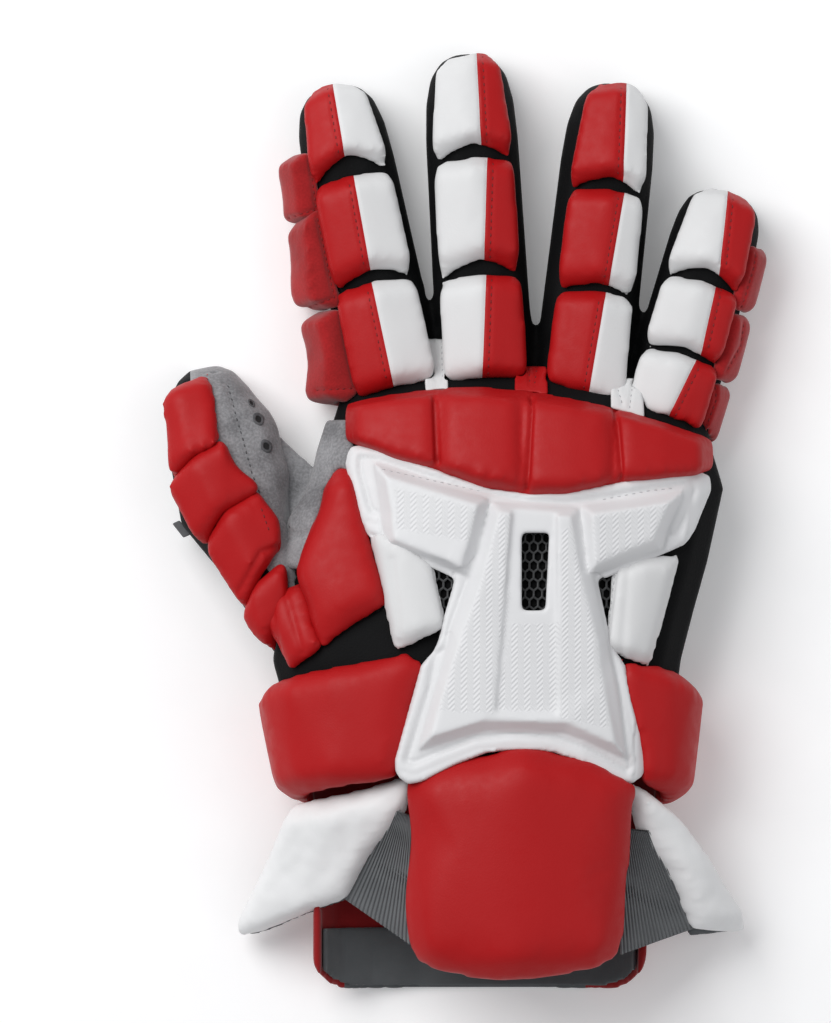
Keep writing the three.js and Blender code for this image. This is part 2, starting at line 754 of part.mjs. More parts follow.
// Leather webs between the fingers, left to right
const WEB_FOOT = -1.5;
const WEB_CORNERS = [
  [[-0.305, -0.155], [-0.24, -0.155], [-0.225, -0.01], [-0.29, -0.01]],
  [[-0.045, -0.085], [0.042, -0.085], [0.045, 0], [-0.05, 0]],
  [[0.215, -0.055], [0.3, -0.055], [0.31, 0.06], [0.215, 0.035]],
];
const WEB_LIFT = 0.8; // how far a web stands off the fabric that it bridges
const WEB_SHEET = {
  height: WEB_THICKNESS + WEB_LIFT,
  edge: WEB_THICKNESS + WEB_LIFT,
  foot: WEB_FOOT,
  crown: FLAT,
  us: [-1, -0.33, 0.33, 1],
  vs: [-1, 0, 1],
};
const fingerWebs = WEB_CORNERS.map((corners) =>
  skinPad({ ...WEB_SHEET, corners }),
);

// The suede between the thumb and the hand: a patch on the hand's side, and a span to the thumb
const HAND_PATCH = [
  [-0.75, 0.055],
  [-0.49, 0.055],
  [-0.49, 0.21],
  [-0.56, 0.42],
  [-0.75, 0.42],
];
const HAND_PATCH_FOOT = 9; // lower edge of the patch on the hand's side
const THUMB_SPAN_ROWS = [
  { down: 0, left: -0.755, right: -0.54, hang: 0.36, along: 0.045, slope: 0.18 },
  { down: 0.35, left: -0.75, right: -0.56, hang: 0.42, along: 0.18, slope: 0.12 },
  { down: 0.7, left: -0.74, right: -0.56, hang: 0.5, along: 0.3, slope: 0.08 },
  { down: 1, left: -0.74, right: -0.56, hang: 0.58, along: 0.45, slope: 0.05 },
];
const thumbSpan = {
  height: PALM_THICKNESS,
  edge: PALM_THICKNESS,
  foot: 0,
  size: [PALM_WIDTH * 0.09, PALM_LENGTH * 0.2],
  crown: FLAT,
  place(u, v, lift) {
    const row = between(THUMB_SPAN_ROWS, "down", 1 - share(v));
    const s = share(u);
    const x = planX(lerp(row.left, row.right, s));
    const y = planY(row.along + row.slope * s);
    return new THREE.Vector3(x, y, row.hang * HAND_HEIGHT - 5 * bow(u) + lift);
  },
};

// A small loop of tape on the thumb's outer side
const TAB_WIDTH = 4.2;
const TAB_LENGTH = 5.4;
const TAB_HEIGHT = 14;
const TAB_ALONG = 0.49;

// Backhand plate: one half of its outline, as shares of its half width and its length, and the
// same rows mirrored. Its top edge follows the slant of the knuckles.
const PLATE_TOP = { across: -0.007, along: 0.121 };
const PLATE_SLEW = -3.6; // its lower end lies this much further towards the thumb
const PLATE_SLANT = 5.5; // its top corners lie this much above and below the mean
const SLANT_END = 0.32; // and from this share of its length down it is level
const PLATE_ROWS = [
  { across: 0, down: 0.142 },
  { across: 0.22, down: 0.13 },
  { across: 0.444, down: 0.1 },
  { across: 0.7, down: 0.058 },
  { across: 0.9, down: 0.034 },
  { across: 0.985, down: 0.044 },
  { across: 1, down: 0.082 },
  { across: 0.915, down: 0.225 },
  { across: 0.87, down: 0.27 },
  { across: 0.8, down: 0.29 },
  { across: 0.378, down: 0.39 },
  { across: 0.471, down: 0.585 },
  { across: 0.549, down: 0.645 },
  { across: 0.68, down: 0.925 },
  { across: 0.67, down: 0.962 },
  { across: 0.61, down: 0.984 },
  { across: 0.54, down: 0.975 },
  { across: 0.36, down: 0.924 },
  { across: 0.183, down: 0.888 },
  { across: 0, down: 0.882 },
];

function platePoint(across, down) {
  const slant = PLATE_SLANT * Math.max(0, 1 - down / SLANT_END);
  return [
    planX(PLATE_TOP.across) + (across * PLATE_WIDTH) / 2 + PLATE_SLEW * down,
    planY(PLATE_TOP.along) - down * PLATE_LENGTH - slant * across,
  ];
}

const plateOutline = [
  ...PLATE_ROWS.map((row) => platePoint(row.across, row.down)),
  ...PLATE_ROWS.slice(1, -1)
    .reverse()
    .map((row) => platePoint(-row.across, row.down)),
];

// The raised parts of the plate, as outlines in the same shares. rise is a share of the relief.
const PLATE_BLOCKS = [
  { outline: [[-0.86, 0.075], [-0.22, 0.155], [-0.31, 0.378], [-0.77, 0.285]], rise: 1 },
  { outline: [[0.3, 0.165], [0.86, 0.1], [0.74, 0.285], [0.33, 0.375]], rise: 1 },
  {
    outline: [
      [-0.2, 0.165],
      [0.28, 0.17],
      [0.36, 0.39],
      [0.5, 0.69],
      [0.585, 0.915],
      [0.24, 0.836],
      [-0.2, 0.83],
      [-0.57, 0.89],
      [-0.44, 0.62],
      [-0.3, 0.39],
    ],
    rise: 0.9,
  },
];
const CHANNEL = [[-0.08, 0.1], [0.155, 0.1], [0.2, 0.79], [-0.15, 0.78]]; // sunk panel in the tower
const CHANNEL_DEPTH = 2.4;
const WINDOW_TOP = { across: 0.045, down: 0.25 };

// The outline moved inwards by a distance, for outlines that run clockwise in plan.
function insetOutline(outline, distance) {
  const count = outline.length;
  const normal = ([ax, ay], [bx, by]) => {
    const length = Math.hypot(bx - ax, by - ay);
    return [(by - ay) / length, (ax - bx) / length];
  };
  return outline.map((point, i) => {
    const before = normal(outline[(i + count - 1) % count], point);
    const after = normal(point, outline[(i + 1) % count]);
    const sum = [before[0] + after[0], before[1] + after[1]];
    const scale = (2 * distance) / Math.max(sum[0] ** 2 + sum[1] ** 2, 1);
    return [point[0] + sum[0] * scale, point[1] + sum[1] * scale];
  });
}

// A raised block over an outline on the body, with sloping sides.
function blockSolid(outline, foot, head, bevel) {
  const lifted = (points, lift) =>
    points.map(([x, y]) => overBody(x, y, lift));
  const inner = insetOutline(outline, bevel);
  const rings = [lifted(outline, foot), lifted(outline, head * 0.35 + foot * 0.65), lifted(inner, head)];
  const count = outline.length;
  const points = rings.flat();
  const triangles = [];
  const caps = THREE.ShapeUtils.triangulateShape(
    outline.map(([x, y]) => new THREE.Vector2(x, y)),
    [],
  );
  for (const [a, b, c] of caps) {
    triangles.push(a, c, b);
    triangles.push(a + 2 * count, b + 2 * count, c + 2 * count);
  }
  const clockwise = THREE.ShapeUtils.isClockWise(
    outline.map(([x, y]) => new THREE.Vector2(x, y)),
  );
  for (let r = 0; r < 2; r++)
    for (let i = 0; i < count; i++) {
      const a = r * count + i;
      const b = r * count + ((i + 1) % count);
      if (clockwise) triangles.push(a, a + count, b, b, a + count, b + count);
      else triangles.push(a, b, a + count, b, b + count, a + count);
    }
  return solidFrom(points, triangles);
}

// The plate rests on the mesh panel. grow is used when it cuts its neighbours.
const PLATE_FOOT = MESH_THICKNESS + 2 * CLEARANCE;
const FLANGE_TOP = PLATE_FOOT + FLANGE_THICKNESS;
const PLATE_US = [-1, -0.75, -0.5, -0.25, 0, 0.25, 0.5, 0.75, 1];
const PLATE_SHEET_TOP = planY(PLATE_TOP.along) + 8;
const PLATE_SHEET_LENGTH = PLATE_LENGTH + 16;
const plateStops = BODY_ROWS.map((row) => (PLATE_SHEET_TOP - planY(row.along)) / PLATE_SHEET_LENGTH);
const PLATE_VS = [-1, ...plateStops.filter((t) => t > 0.02 && t < 0.98).map((t) => 2 * t - 1), 1];

function plateSheet(foot, top, grow) {
  const half = PLATE_WIDTH / 2 + 8;
  const sheet = sheetSolid(
    PLATE_US,
    PLATE_VS,
    (u, v) => platePlace(u * half, v, top),
    (u, v) => platePlace(u * half, v, foot),
  );
  const outline = grow ? insetOutline(plateOutline, -grow) : plateOutline;
  return sheet.intersect(prismSolid(outline, 0, HAND_HEIGHT * 2));
}

function platePlace(x, v, lift) {
  const y = PLATE_SHEET_TOP - share(v) * PLATE_SHEET_LENGTH;
  return overBody(x, y, lift);
}

function plateSolid() {
  const blocks = PLATE_BLOCKS.map(({ outline, rise }) =>
    blockSolid(
      outline.map(([across, down]) => platePoint(across, down)),
      FLANGE_TOP - 1,
      FLANGE_TOP + PLATE_RELIEF * rise,
      PLATE_BEVEL,
    ),
  );
  const channel = blockSolid(
    CHANNEL.map(([across, down]) => platePoint(across, down)),
    FLANGE_TOP + PLATE_RELIEF - CHANNEL_DEPTH,
    FLANGE_TOP + 2 * PLATE_RELIEF,
    0,
  );
  const [windowX, windowY] = platePoint(WINDOW_TOP.across, WINDOW_TOP.down);
  const window = prismSolid(
    [
      [windowX - WINDOW_WIDTH / 2, windowY],
      [windowX + WINDOW_WIDTH / 2, windowY],
      [windowX + WINDOW_WIDTH * 0.36, windowY - WINDOW_LENGTH],
      [windowX - WINDOW_WIDTH / 2, windowY - WINDOW_LENGTH],
    ],
    0,
    HAND_HEIGHT * 2,
  );
  const raised = wasm.Manifold.union([plateSheet(PLATE_FOOT, FLANGE_TOP, 0), ...blocks]);
  return raised.subtract(channel).subtract(window);
}

// Cuff

// A band wrapped round one side of the wrist, from its plate edge to below the side.
function bandPad({ plateUpper, plateLower, upper, lower, under, bulge }) {
  return {
    height: BAND_HEIGHT,
    size: [PALM_WIDTH * 0.35, PALM_LENGTH * 0.14],
    us: [-1, -0.9, -0.55, -0.2, 0.15, 0.5, 0.85, 1],
    place(u, v, lift) {
      const s = share(u);
      const t = share(v);
      const top = planY(lerp(upper[0], upper[1], s));
      const bottom = planY(lerp(lower[0], lower[1], s)) - bulge * bow(u);
      const y = lerp(bottom, top, t);
      const edge = bodyAngle(lerp(planX(plateLower), planX(plateUpper), t), y, lift);
      return bodyPoint(lerp(edge, under, s), y, lift);
    },
  };
}
const leftBand = bandPad({
  plateUpper: -0.314,
  plateLower: -0.374,
  upper: [0.64, 0.76],
  lower: [0.94, 1.02],
  under: 208,
  bulge: 0,
});
const rightBand = bandPad({
  plateUpper: 0.236,
  plateLower: 0.302,
  upper: [0.64, 0.76],
  lower: [0.955, 1.04],
  under: -30,
  bulge: 0,
});

// The flap: a stuffed tongue over the wrist, arched across. It hangs free past the shell's end.
const FLAP_MIDDLE = -0.036; // across share of its middle
const FLAP_ROWS = [
  { down: 0, width: 1.03, shift: 0.02 },
  { down: 0.25, width: 0.98, shift: 0 },
  { down: 0.8, width: 1, shift: -0.005 },
  { down: 1, width: 0.9, shift: -0.005 },
];
const FLAP_UPPER = 0.955; // along shares of its upper corners and its lower edge
const FLAP_LOWER = 1.885;
const FLAP_CORNER = 5; // its lower corners are this much shorter than its middle
const FLAP_TOP_RISE = 11; // its upper edge follows the plate's lower edge
const flapPad = {
  height: FLAP_HEIGHT,
  foot: 0,
  size: [FLAP_WIDTH / 2, CUFF_LENGTH / 2],
  place(u, v, lift) {
    const t = share(v);
    const row = between(FLAP_ROWS, "down", 1 - t);
    const top = planY(FLAP_UPPER) + FLAP_TOP_RISE * bow(u);
    const bottom = planY(FLAP_LOWER) + FLAP_CORNER * u ** 4;
    const x = planX(FLAP_MIDDLE + row.shift) + (u * FLAP_WIDTH * row.width) / 2;
    const rest = bodySection(-PALM_LENGTH, 0);
    const height = rest.centre + rest.halfHeight + CLEARANCE - FLAP_DROP * u * u;
    return new THREE.Vector3(x, lerp(bottom, top, t), height + lift);
  },
};

// A free pad between four corners, each with its own height, as wings and elastic gussets are.
// Corners are [across, along, height share of the hand], top left, top right, bottom right, bottom left.
function freePad({ corners, height, sag = 0, edge, crown: profile, bulge, us, vs }) {
  const plan = planQuad({ corners, bulge });
  const heights = corners.map((corner) => corner[2] * HAND_HEIGHT);
  const surface = (u, v) => {
    const s = share(u);
    const t = share(v);
    const z = lerp(lerp(heights[3], heights[2], s), lerp(heights[0], heights[1], s), t);
    const [x, y] = plan(u, v);
    return new THREE.Vector3(x, y, z - sag * bow(u) * bow(v));
  };
  const normal = surface(0.5, -0.5)
    .sub(surface(-0.5, 0.5))
    .cross(surface(0.5, 0.5).sub(surface(-0.5, -0.5)))
    .normalize();
  const diagonal = surface(1, 1).distanceTo(surface(-1, -1));
  return {
    height,
    edge,
    crown: profile,
    us,
    vs,
    foot: 0,
    size: [diagonal / 4, diagonal / 4],
    place: (u, v, lift) => surface(u, v).addScaledVector(normal, lift),
  };
}

const leftWingShape = {
  corners: [
    [-0.645, 1.03, 0.62],
    [-0.366, 0.955, 0.9],
    [-0.505, 1.49, 0.56],
    [-0.772, 1.63, 0.13],
  ],
  bulge: { lower: 1, right: 1.5, left: 2 },
  height: WING_HEIGHT,
  sag: -3,
};
const rightWingShape = {
  corners: [
    [0.297, 0.97, 0.88],
    [0.385, 1.09, 0.62],
    [0.562, 1.66, 0.12],
    [0.435, 1.66, 0.5],
  ],
  bulge: { upper: 1, left: 1 },
  height: WING_HEIGHT,
  sag: -2.5,
};
const leftWing = freePad(leftWingShape);
const rightWing = freePad(rightWingShape);
// The lining of a wing lies under it and shows past its lower end.
const liningOf = (wing) => ({
  ...wing,
  height: -LINING_DROP,
  edge: -LINING_DROP,
  foot: -LINING_DROP - LINING_THICKNESS,
  crown: FLAT,
  us: [-1, -0.33, 0.33, 1],
  vs: [-1, -0.33, 0.33, 1],
  place: (u, v, lift) => wing.place(u, v < 0 ? v * LINING_LAP : v, lift),
});
const leftWingLining = liningOf(leftWing);
const rightWingLining = liningOf(rightWing);
const leftElastic = freePad({
  corners: [
    [-0.37, 1.06, 0.93],
    [-0.315, 1.09, 0.99],
    [-0.3, 1.78, 0.99],
    [-0.52, 1.5, 0.56],
  ],
  height: ELASTIC_THICKNESS,
  edge: ELASTIC_THICKNESS,
  crown: FLAT,
  sag: 2.5,
  us: [-1, -0.5, 0, 0.5, 1],
  vs: SHEET_VS,
});
const rightElastic = freePad({
  corners: [
    [0.225, 1.14, 0.98],
    [0.31, 1.19, 0.86],
    [0.44, 1.68, 0.5],
    [0.24, 1.79, 0.96],
  ],
  height: ELASTIC_THICKNESS,
  edge: ELASTIC_THICKNESS,
  crown: FLAT,
  sag: 2.5,
  us: [-1, -0.5, 0, 0.5, 1],
  vs: SHEET_VS,
});

// The palm side of the cuff: a trough open at the top, with round corners at its hem
const CUFF_STOPS = [SHELL_END, 1, 1.5, 2];
const LINING_STOPS = [1.66, 1.8, 2];

function cuffTube(stops, lift, floor, overrun) {
  const rings = stops.map((along, i) => {
    const y = planY(along);
    const end = i === 0 ? overrun : i === stops.length - 1 ? -overrun : 0;
    return ringOf(BODY_SIDES, (angle) => bodyPoint(angle, y, lift).add(alongY(end)));
  });
  return abovePlane(loftSolid(rings), floor);
}

const alongY = (distance) => new THREE.Vector3(0, distance, 0);
const CORNER_STEPS = 5;

function roundCorner(x, y, from) {
  return Array.from({ length: CORNER_STEPS + 1 }, (unused, i) => {
    const angle = (from + (i * 90) / CORNER_STEPS) * DEGREE;
    return [x + HEM_RADIUS * Math.cos(angle), y + HEM_RADIUS * Math.sin(angle)];
  });
}

function cuffTrough({ stops, lift, wall, floor, thickness, sideHeight, inset }) {
  const outer = cuffTube(stops, lift, floor, -CLEARANCE);
  const inner = cuffTube(stops, lift - wall, floor + thickness, wall);
  const hem = BODY_ROWS[BODY_ROWS.length - 1];
  const left = planX(hem.left) + inset;
  const right = planX(hem.right) - inset;
  const bottom = planY(2) + inset;
  const start = planY(0);
  const outline = [
    [left - PALM_WIDTH, start],
    [left - PALM_WIDTH, bottom + HEM_RADIUS * 1.8],
    ...roundCorner(left + HEM_RADIUS, bottom + HEM_RADIUS, 180),
    ...roundCorner(right - HEM_RADIUS, bottom + HEM_RADIUS, 270),
    [right + PALM_WIDTH, bottom + HEM_RADIUS * 1.8],
    [right + PALM_WIDTH, start],
  ];
  const hollow = belowPlane(outer.subtract(inner), sideHeight);
  return hollow.intersect(prismSolid(outline, -1, HAND_HEIGHT));
}

// Assembly

const glove = new THREE.Group();
const pieces = new THREE.Group();
glove.add(pieces);
const built = {};

function addPiece(name, solid, finish) {
  built[name] = solid;
  pieces.add(nodeMesh(name, solid, finish));
}

const largestOf = (solid) => solid.decompose().sort((a, b) => b.volume() - a.volume())[0];
const cutBy = (solid, cutters) => cutters.reduce((left, cutter) => left.subtract(cutter), solid);

// Fabric shell, and the flat palm under it
const slab = (solid) => belowPlane(abovePlane(solid, 0), PALM_THICKNESS);
const aboveSlab = (solid) => abovePlane(solid, PALM_THICKNESS + CLEARANCE);
const fabricShell = aboveSlab(handOuter.subtract(handCavity).subtract(thumbCavity));

// The shell is sewn up from five parts: it is cut through along the knuckles and between the fingers.
const knuckleLine = planY(BODY_ROWS[0].along);
const fingerCuts = FINGERS.slice(1).map((finger, i) => {
  const left = FINGERS[i];
  const x = planX((left.base + finger.base) / 2);
  const [forwardX, forwardY] = leanVector((left.lean + finger.lean) / 2);
  const reach = MIDDLE_FINGER_LENGTH * 1.2;
  const outline = [
    [x - CLEARANCE / 2, 0],
    [x + CLEARANCE / 2, 0],
    [x + CLEARANCE / 2 + forwardX * reach, forwardY * reach],
    [x - CLEARANCE / 2 + forwardX * reach, forwardY * reach],
  ];
  return prismSolid(outline, -1, HAND_HEIGHT * 2);
});
const beyondKnuckles = fabricShell.trimByPlane([0, 1, 0], knuckleLine + CLEARANCE);
const fingerShells = cutBy(beyondKnuckles, fingerCuts)
  .decompose()
  .sort((a, b) => b.volume() - a.volume())
  .slice(0, FINGERS.length)
  .sort((a, b) => a.boundingBox().max[0] - b.boundingBox().max[0]);
addPiece("hand_shell", largestOf(fabricShell.trimByPlane([0, -1, 0], -knuckleLine)), BLACK_FABRIC);
FINGERS.forEach(({ name }, i) => addPiece(`${name}_shell`, fingerShells[i], BLACK_FABRIC));
addPiece("palm", slab(handOuter), GREY_SUEDE);

// The thumb's tube is split lengthways: suede on the palm side, fabric on the back
const thumbWalls = thumbOuter.subtract(abovePlane(thumbCavity, PALM_THICKNESS));
const thumbTube = abovePlane(thumbWalls.subtract(handGrown), 0);
const thumbSplit = sheetSolid(
  [-1, 0, 1],
  thumbLimb.stops.map((unused, i) => i),
  (u, i) => splitPoint(i, u, 1),
  (u, i) => splitPoint(i, u, -1),
);

// A thin curtain along the thumb's axis, from its palm side to its back.
function splitPoint(i, u, side) {
  const along = thumbLimb.stops[i] + (i === 0 ? -20 : i === thumbLimb.stops.length - 1 ? 20 : 0);
  const inside = THREE.MathUtils.clamp(along, thumbLimb.stops[0], THUMB_LENGTH);
  const { axis, lean, height } = thumbLimb.at(inside);
  const [forwardX, forwardY] = leanVector(lean);
  const across = (side * CLEARANCE) / 2;
  return new THREE.Vector3(
    axis[0] + forwardY * across + forwardX * (along - inside),
    axis[1] - forwardX * across + forwardY * (along - inside),
    height / 2 + u * THUMB_HEIGHT,
  );
}
const thumbHalves = thumbTube
  .subtract(thumbSplit)
  .decompose()
  .sort((a, b) => b.volume() - a.volume())
  .slice(0, 2)
  .sort((a, b) => b.boundingBox().max[0] - a.boundingBox().max[0]);
addPiece("thumb_palm", largestOf(thumbHalves[0]), GREY_SUEDE);
addPiece("thumb_shell", largestOf(thumbHalves[1]), BLACK_FABRIC);

// Pads of the fingers, thumb and hand
const meshGrown = padBlank(meshPanel, CLEARANCE);
const plateGrown = wasm.Manifold.union(
  plateSheet(-1, FLANGE_TOP + CLEARANCE, CLEARANCE),
  plateSheet(-1, FLANGE_TOP + PLATE_RELIEF * 1.5, 0),
);
const grownPads = {};
function addPad(name, pad, finish, cutters = []) {
  grownPads[name] = padBlank(pad, CLEARANCE);
  const solid = cutBy(padBlank(pad), [bodyGrown, ...cutters]);
  addPiece(name, largestOf(solid), finish);
}

addPad("knuckle_roll", knuckleRoll, RED_LEATHER);
fingerPads.forEach(({ name, pad }, i) => {
  const next = fingerPads[i + 1];
  const cutters = name.endsWith("_pad_1") ? [grownPads.knuckle_roll] : [];
  if (next && !next.name.endsWith("_pad_1")) cutters.push(padBlank(next.pad, CLEARANCE));
  addPad(name, pad, RED_LEATHER, cutters);
});
const dorsalCutters = (finger) => [1, 2, 3].map((n) => grownPads[`${finger}_pad_${n}`]);
sidePads.forEach(({ name, pad }) => {
  addPad(name, pad, RED_NUBUCK, [...dorsalCutters(name.split("_")[0]), grownPads.knuckle_roll]);
});
thumbPads.forEach(({ name, pad }, i) => {
  const cutters = i > 0 ? [grownPads[`thumb_pad_${i}`]] : [];
  addPad(name, pad, RED_LEATHER, cutters);
});
const lowerThumbPads = [grownPads.thumb_pad_1, grownPads.thumb_pad_2];
addPad("saddle_pad", saddlePad, RED_LEATHER, [...lowerThumbPads, plateGrown]);
addPad("thumb_base_pad", thumbBasePad, RED_LEATHER, [...lowerThumbPads, grownPads.saddle_pad]);

// Webs
const WEB_FINISHES = [WHITE_LEATHER, RED_LEATHER, WHITE_LEATHER];
const knucklePads = FINGERS.map((finger) => grownPads[`${finger.name}_pad_1`]);
fingerWebs.forEach((web, i) => {
  const cutters = [grownPads.knuckle_roll, knucklePads[i], knucklePads[i + 1]];
  addPad(`finger_web_${i + 1}`, web, WEB_FINISHES[i], cutters);
});
const handLayer = handSolid(CLEARANCE + WEB_THICKNESS).subtract(handGrown);
const patchOutline = HAND_PATCH.map(([across, along]) => [planX(across), planY(along)]);
const webBlank = wasm.Manifold.union(
  handLayer.intersect(prismSolid(patchOutline, HAND_PATCH_FOOT, HAND_HEIGHT * 2)),
  padBlank(thumbSpan).subtract(handGrown),
);
const webCutters = [
  bodyGrown,
  plateGrown,
  grownPads.saddle_pad,
  grownPads.knuckle_roll,
  ...thumbPads.map(({ name }) => grownPads[name]),
];
addPiece("palm_web", largestOf(cutBy(webBlank, webCutters)), GREY_SUEDE);
const tab = thumbLimb.at(TAB_ALONG * THUMB_LENGTH);
const [tabX, tabY] = leanVector(tab.lean);
const tabMiddle = [
  tab.axis[0] - tabY * (tab.halfWidth + TAB_WIDTH / 4),
  tab.axis[1] + tabX * (tab.halfWidth + TAB_WIDTH / 4),
];
const tabOutline = [[-1, -1], [1, -1], [1, 1], [-1, 1]].map(([u, v]) => [
  tabMiddle[0] + (u * tabY * TAB_WIDTH + v * tabX * TAB_LENGTH) / 2,
  tabMiddle[1] + (v * tabY * TAB_LENGTH - u * tabX * TAB_WIDTH) / 2,
]);
const tabBlank = prismSolid(tabOutline, TAB_HEIGHT, TAB_HEIGHT + PALM_THICKNESS);
const tabCutters = [bodyGrown, ...thumbPads.map(({ name }) => grownPads[name])];
addPiece("thumb_tab", largestOf(cutBy(tabBlank, tabCutters)), GREY_ELASTIC);

// Mesh panel, plate and the hand's side pads
const rollGrown = grownPads.knuckle_roll;
addPiece("mesh_panel", padBlank(meshPanel).subtract(handGrown).subtract(rollGrown), BLACK_MESH);
addPiece("backhand_plate", cutBy(plateSolid(), [handGrown, rollGrown, meshGrown]), WHITE_MOULDED);
const handPadCutters = [meshGrown, plateGrown, grownPads.saddle_pad];
addPad("left_hand_pad", leftHandPad, WHITE_LEATHER, handPadCutters);
addPad("right_hand_pad", rightHandPad, WHITE_LEATHER, handPadCutters);

// Cuff
const bandSurroundings = [
  meshGrown,
  plateGrown,
  grownPads.left_hand_pad,
  grownPads.right_hand_pad,
  grownPads.saddle_pad,
  grownPads.thumb_base_pad,
  grownPads.thumb_pad_1,
];
addPad("left_band", leftBand, RED_LEATHER, bandSurroundings);
addPad("right_band", rightBand, RED_LEATHER, bandSurroundings);
const bandsGrown = [grownPads.left_band, grownPads.right_band];
addPad("cuff_flap", flapPad, RED_LEATHER, [meshGrown, plateGrown, ...bandsGrown]);
const flapSurroundings = [...bandsGrown, grownPads.cuff_flap, plateGrown];
addPad("left_wing", leftWing, WHITE_LEATHER, flapSurroundings);
addPad("right_wing", rightWing, WHITE_LEATHER, flapSurroundings);
const wingsGrown = [grownPads.left_wing, grownPads.right_wing];
addPad("left_wing_lining", leftWingLining, GREY_LINING, [...flapSurroundings, ...wingsGrown]);
addPad("right_wing_lining", rightWingLining, GREY_LINING, [...flapSurroundings, ...wingsGrown]);
const linedWings = [...wingsGrown, grownPads.left_wing_lining, grownPads.right_wing_lining];
addPad("left_elastic", leftElastic, GREY_ELASTIC, [...flapSurroundings, ...linedWings]);
addPad("right_elastic", rightElastic, GREY_ELASTIC, [...flapSurroundings, ...linedWings]);
const palmCuff = cuffTrough({
  stops: CUFF_STOPS,
  lift: 0,
  wall: CUFF_WALL,
  floor: 0,
  thickness: PALM_THICKNESS,
  sideHeight: CUFF_SIDE_HEIGHT,
  inset: 0,
});
const elasticGrown = [grownPads.left_elastic, grownPads.right_elastic];
const cuffCutters = [...bandsGrown, ...linedWings, ...elasticGrown];
addPiece("palm_cuff", largestOf(cutBy(palmCuff, cuffCutters)), RED_DARK);
const cuffLining = cuffTrough({
  stops: LINING_STOPS,
  lift: -CUFF_WALL - CLEARANCE,
  wall: LINING_THICKNESS,
  floor: PALM_THICKNESS + CLEARANCE,
  thickness: LINING_THICKNESS,
  sideHeight: CUFF_SIDE_HEIGHT - 4,
  inset: LINING_THICKNESS,
});
addPiece("cuff_lining", largestOf(cutBy(cuffLining, cuffCutters)), GREY_LINING);

// The middle of the bounding box, on the surface, is the origin.
pieces.updateMatrixWorld(true);
const box = new THREE.Box3().setFromObject(pieces);
const middle = box.getCenter(new THREE.Vector3());
pieces.position.set(-middle.x, -middle.y, -box.min.z);

export default glove;
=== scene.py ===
import math

import bmesh
import bpy
import numpy as np
from mathutils import Matrix, Vector, noise
from mathutils.bvhtree import BVHTree


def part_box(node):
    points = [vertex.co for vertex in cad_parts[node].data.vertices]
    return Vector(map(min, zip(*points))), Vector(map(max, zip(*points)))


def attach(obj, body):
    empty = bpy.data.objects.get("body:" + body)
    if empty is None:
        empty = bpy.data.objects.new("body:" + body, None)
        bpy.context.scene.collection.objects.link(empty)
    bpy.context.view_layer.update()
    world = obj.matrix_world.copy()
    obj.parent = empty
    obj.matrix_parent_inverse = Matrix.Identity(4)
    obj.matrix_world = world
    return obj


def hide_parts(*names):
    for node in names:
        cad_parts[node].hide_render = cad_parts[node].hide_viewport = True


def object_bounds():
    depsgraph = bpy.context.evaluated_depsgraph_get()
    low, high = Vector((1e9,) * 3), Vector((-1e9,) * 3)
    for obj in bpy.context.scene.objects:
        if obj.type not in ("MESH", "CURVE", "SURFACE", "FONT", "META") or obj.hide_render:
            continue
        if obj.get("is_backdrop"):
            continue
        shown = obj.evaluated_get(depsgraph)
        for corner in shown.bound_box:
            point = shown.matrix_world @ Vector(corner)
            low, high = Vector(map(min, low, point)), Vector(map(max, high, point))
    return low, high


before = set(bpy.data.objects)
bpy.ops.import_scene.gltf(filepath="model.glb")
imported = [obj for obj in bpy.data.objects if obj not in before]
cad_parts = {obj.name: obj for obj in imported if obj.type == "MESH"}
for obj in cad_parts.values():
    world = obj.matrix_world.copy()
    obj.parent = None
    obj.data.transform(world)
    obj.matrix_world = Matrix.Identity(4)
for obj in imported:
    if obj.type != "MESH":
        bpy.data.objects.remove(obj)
cad_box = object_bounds()

# The table and the studio: the glove lies palm down on pale card and is photographed from straight
# above with a long lens. Two large soft boxes and a pale room light it, the brighter one from the
# upper left.
MM = 0.001
scene = bpy.context.scene
scene.view_settings.view_transform = "Standard"


def linear(code):
    """A colour's linear values, from its sRGB hex code."""
    parts = [int(code[i : i + 2], 16) / 255 for i in (1, 3, 5)]
    return (*(c / 12.92 if c < 0.04045 else ((c + 0.055) / 1.055) ** 2.4 for c in parts), 1.0)


def add(tree, kind, inputs=(), **settings):
    """Adds a shader node. An input's value is a number, a colour or the socket that is linked to it."""
    made = tree.nodes.new("ShaderNode" + kind)
    for name, value in settings.items():
        setattr(made, name, value)
    for name, value in dict(inputs).items():
        if isinstance(value, bpy.types.NodeSocket):
            tree.links.new(value, made.inputs[name])
        else:
            made.inputs[name].default_value = value
    return made


def begin(name, **sockets):
    """A new material with its shader's fixed sockets set, and the object's own coordinates."""
    made = bpy.data.materials.new(name)
    made.use_nodes = True
    tree = made.node_tree
    shader = tree.nodes["Principled BSDF"]
    for socket, value in sockets.items():
        shader.inputs[socket.replace("_", " ").title().replace("Ior", "IOR")].default_value = value
    return made, tree, shader, add(tree, "TexCoord").outputs["Object"]


def per_metre(size):
    """A pattern node's scale, from the size of its grain, patch or twist in millimetres."""
    return 1 / (size * MM)


def colour_by(tree, shader, share, low, high):
    """Colours the surface between two tones, by the share that a pattern node gives."""
    tone = add(tree, "Mix", {0: share, 6: linear(low), 7: linear(high)}, data_type="RGBA")
    tree.links.new(tone.outputs[2], shader.inputs["Base Color"])


def emboss(tree, shader, height, strength, depth):
    """Raises the surface by the height that a pattern node gives. The depth is in millimetres."""
    relief = add(tree, "Bump", {"Height": height, "Strength": strength, "Distance": depth * MM})
    tree.links.new(relief.outputs["Normal"], shader.inputs["Normal"])


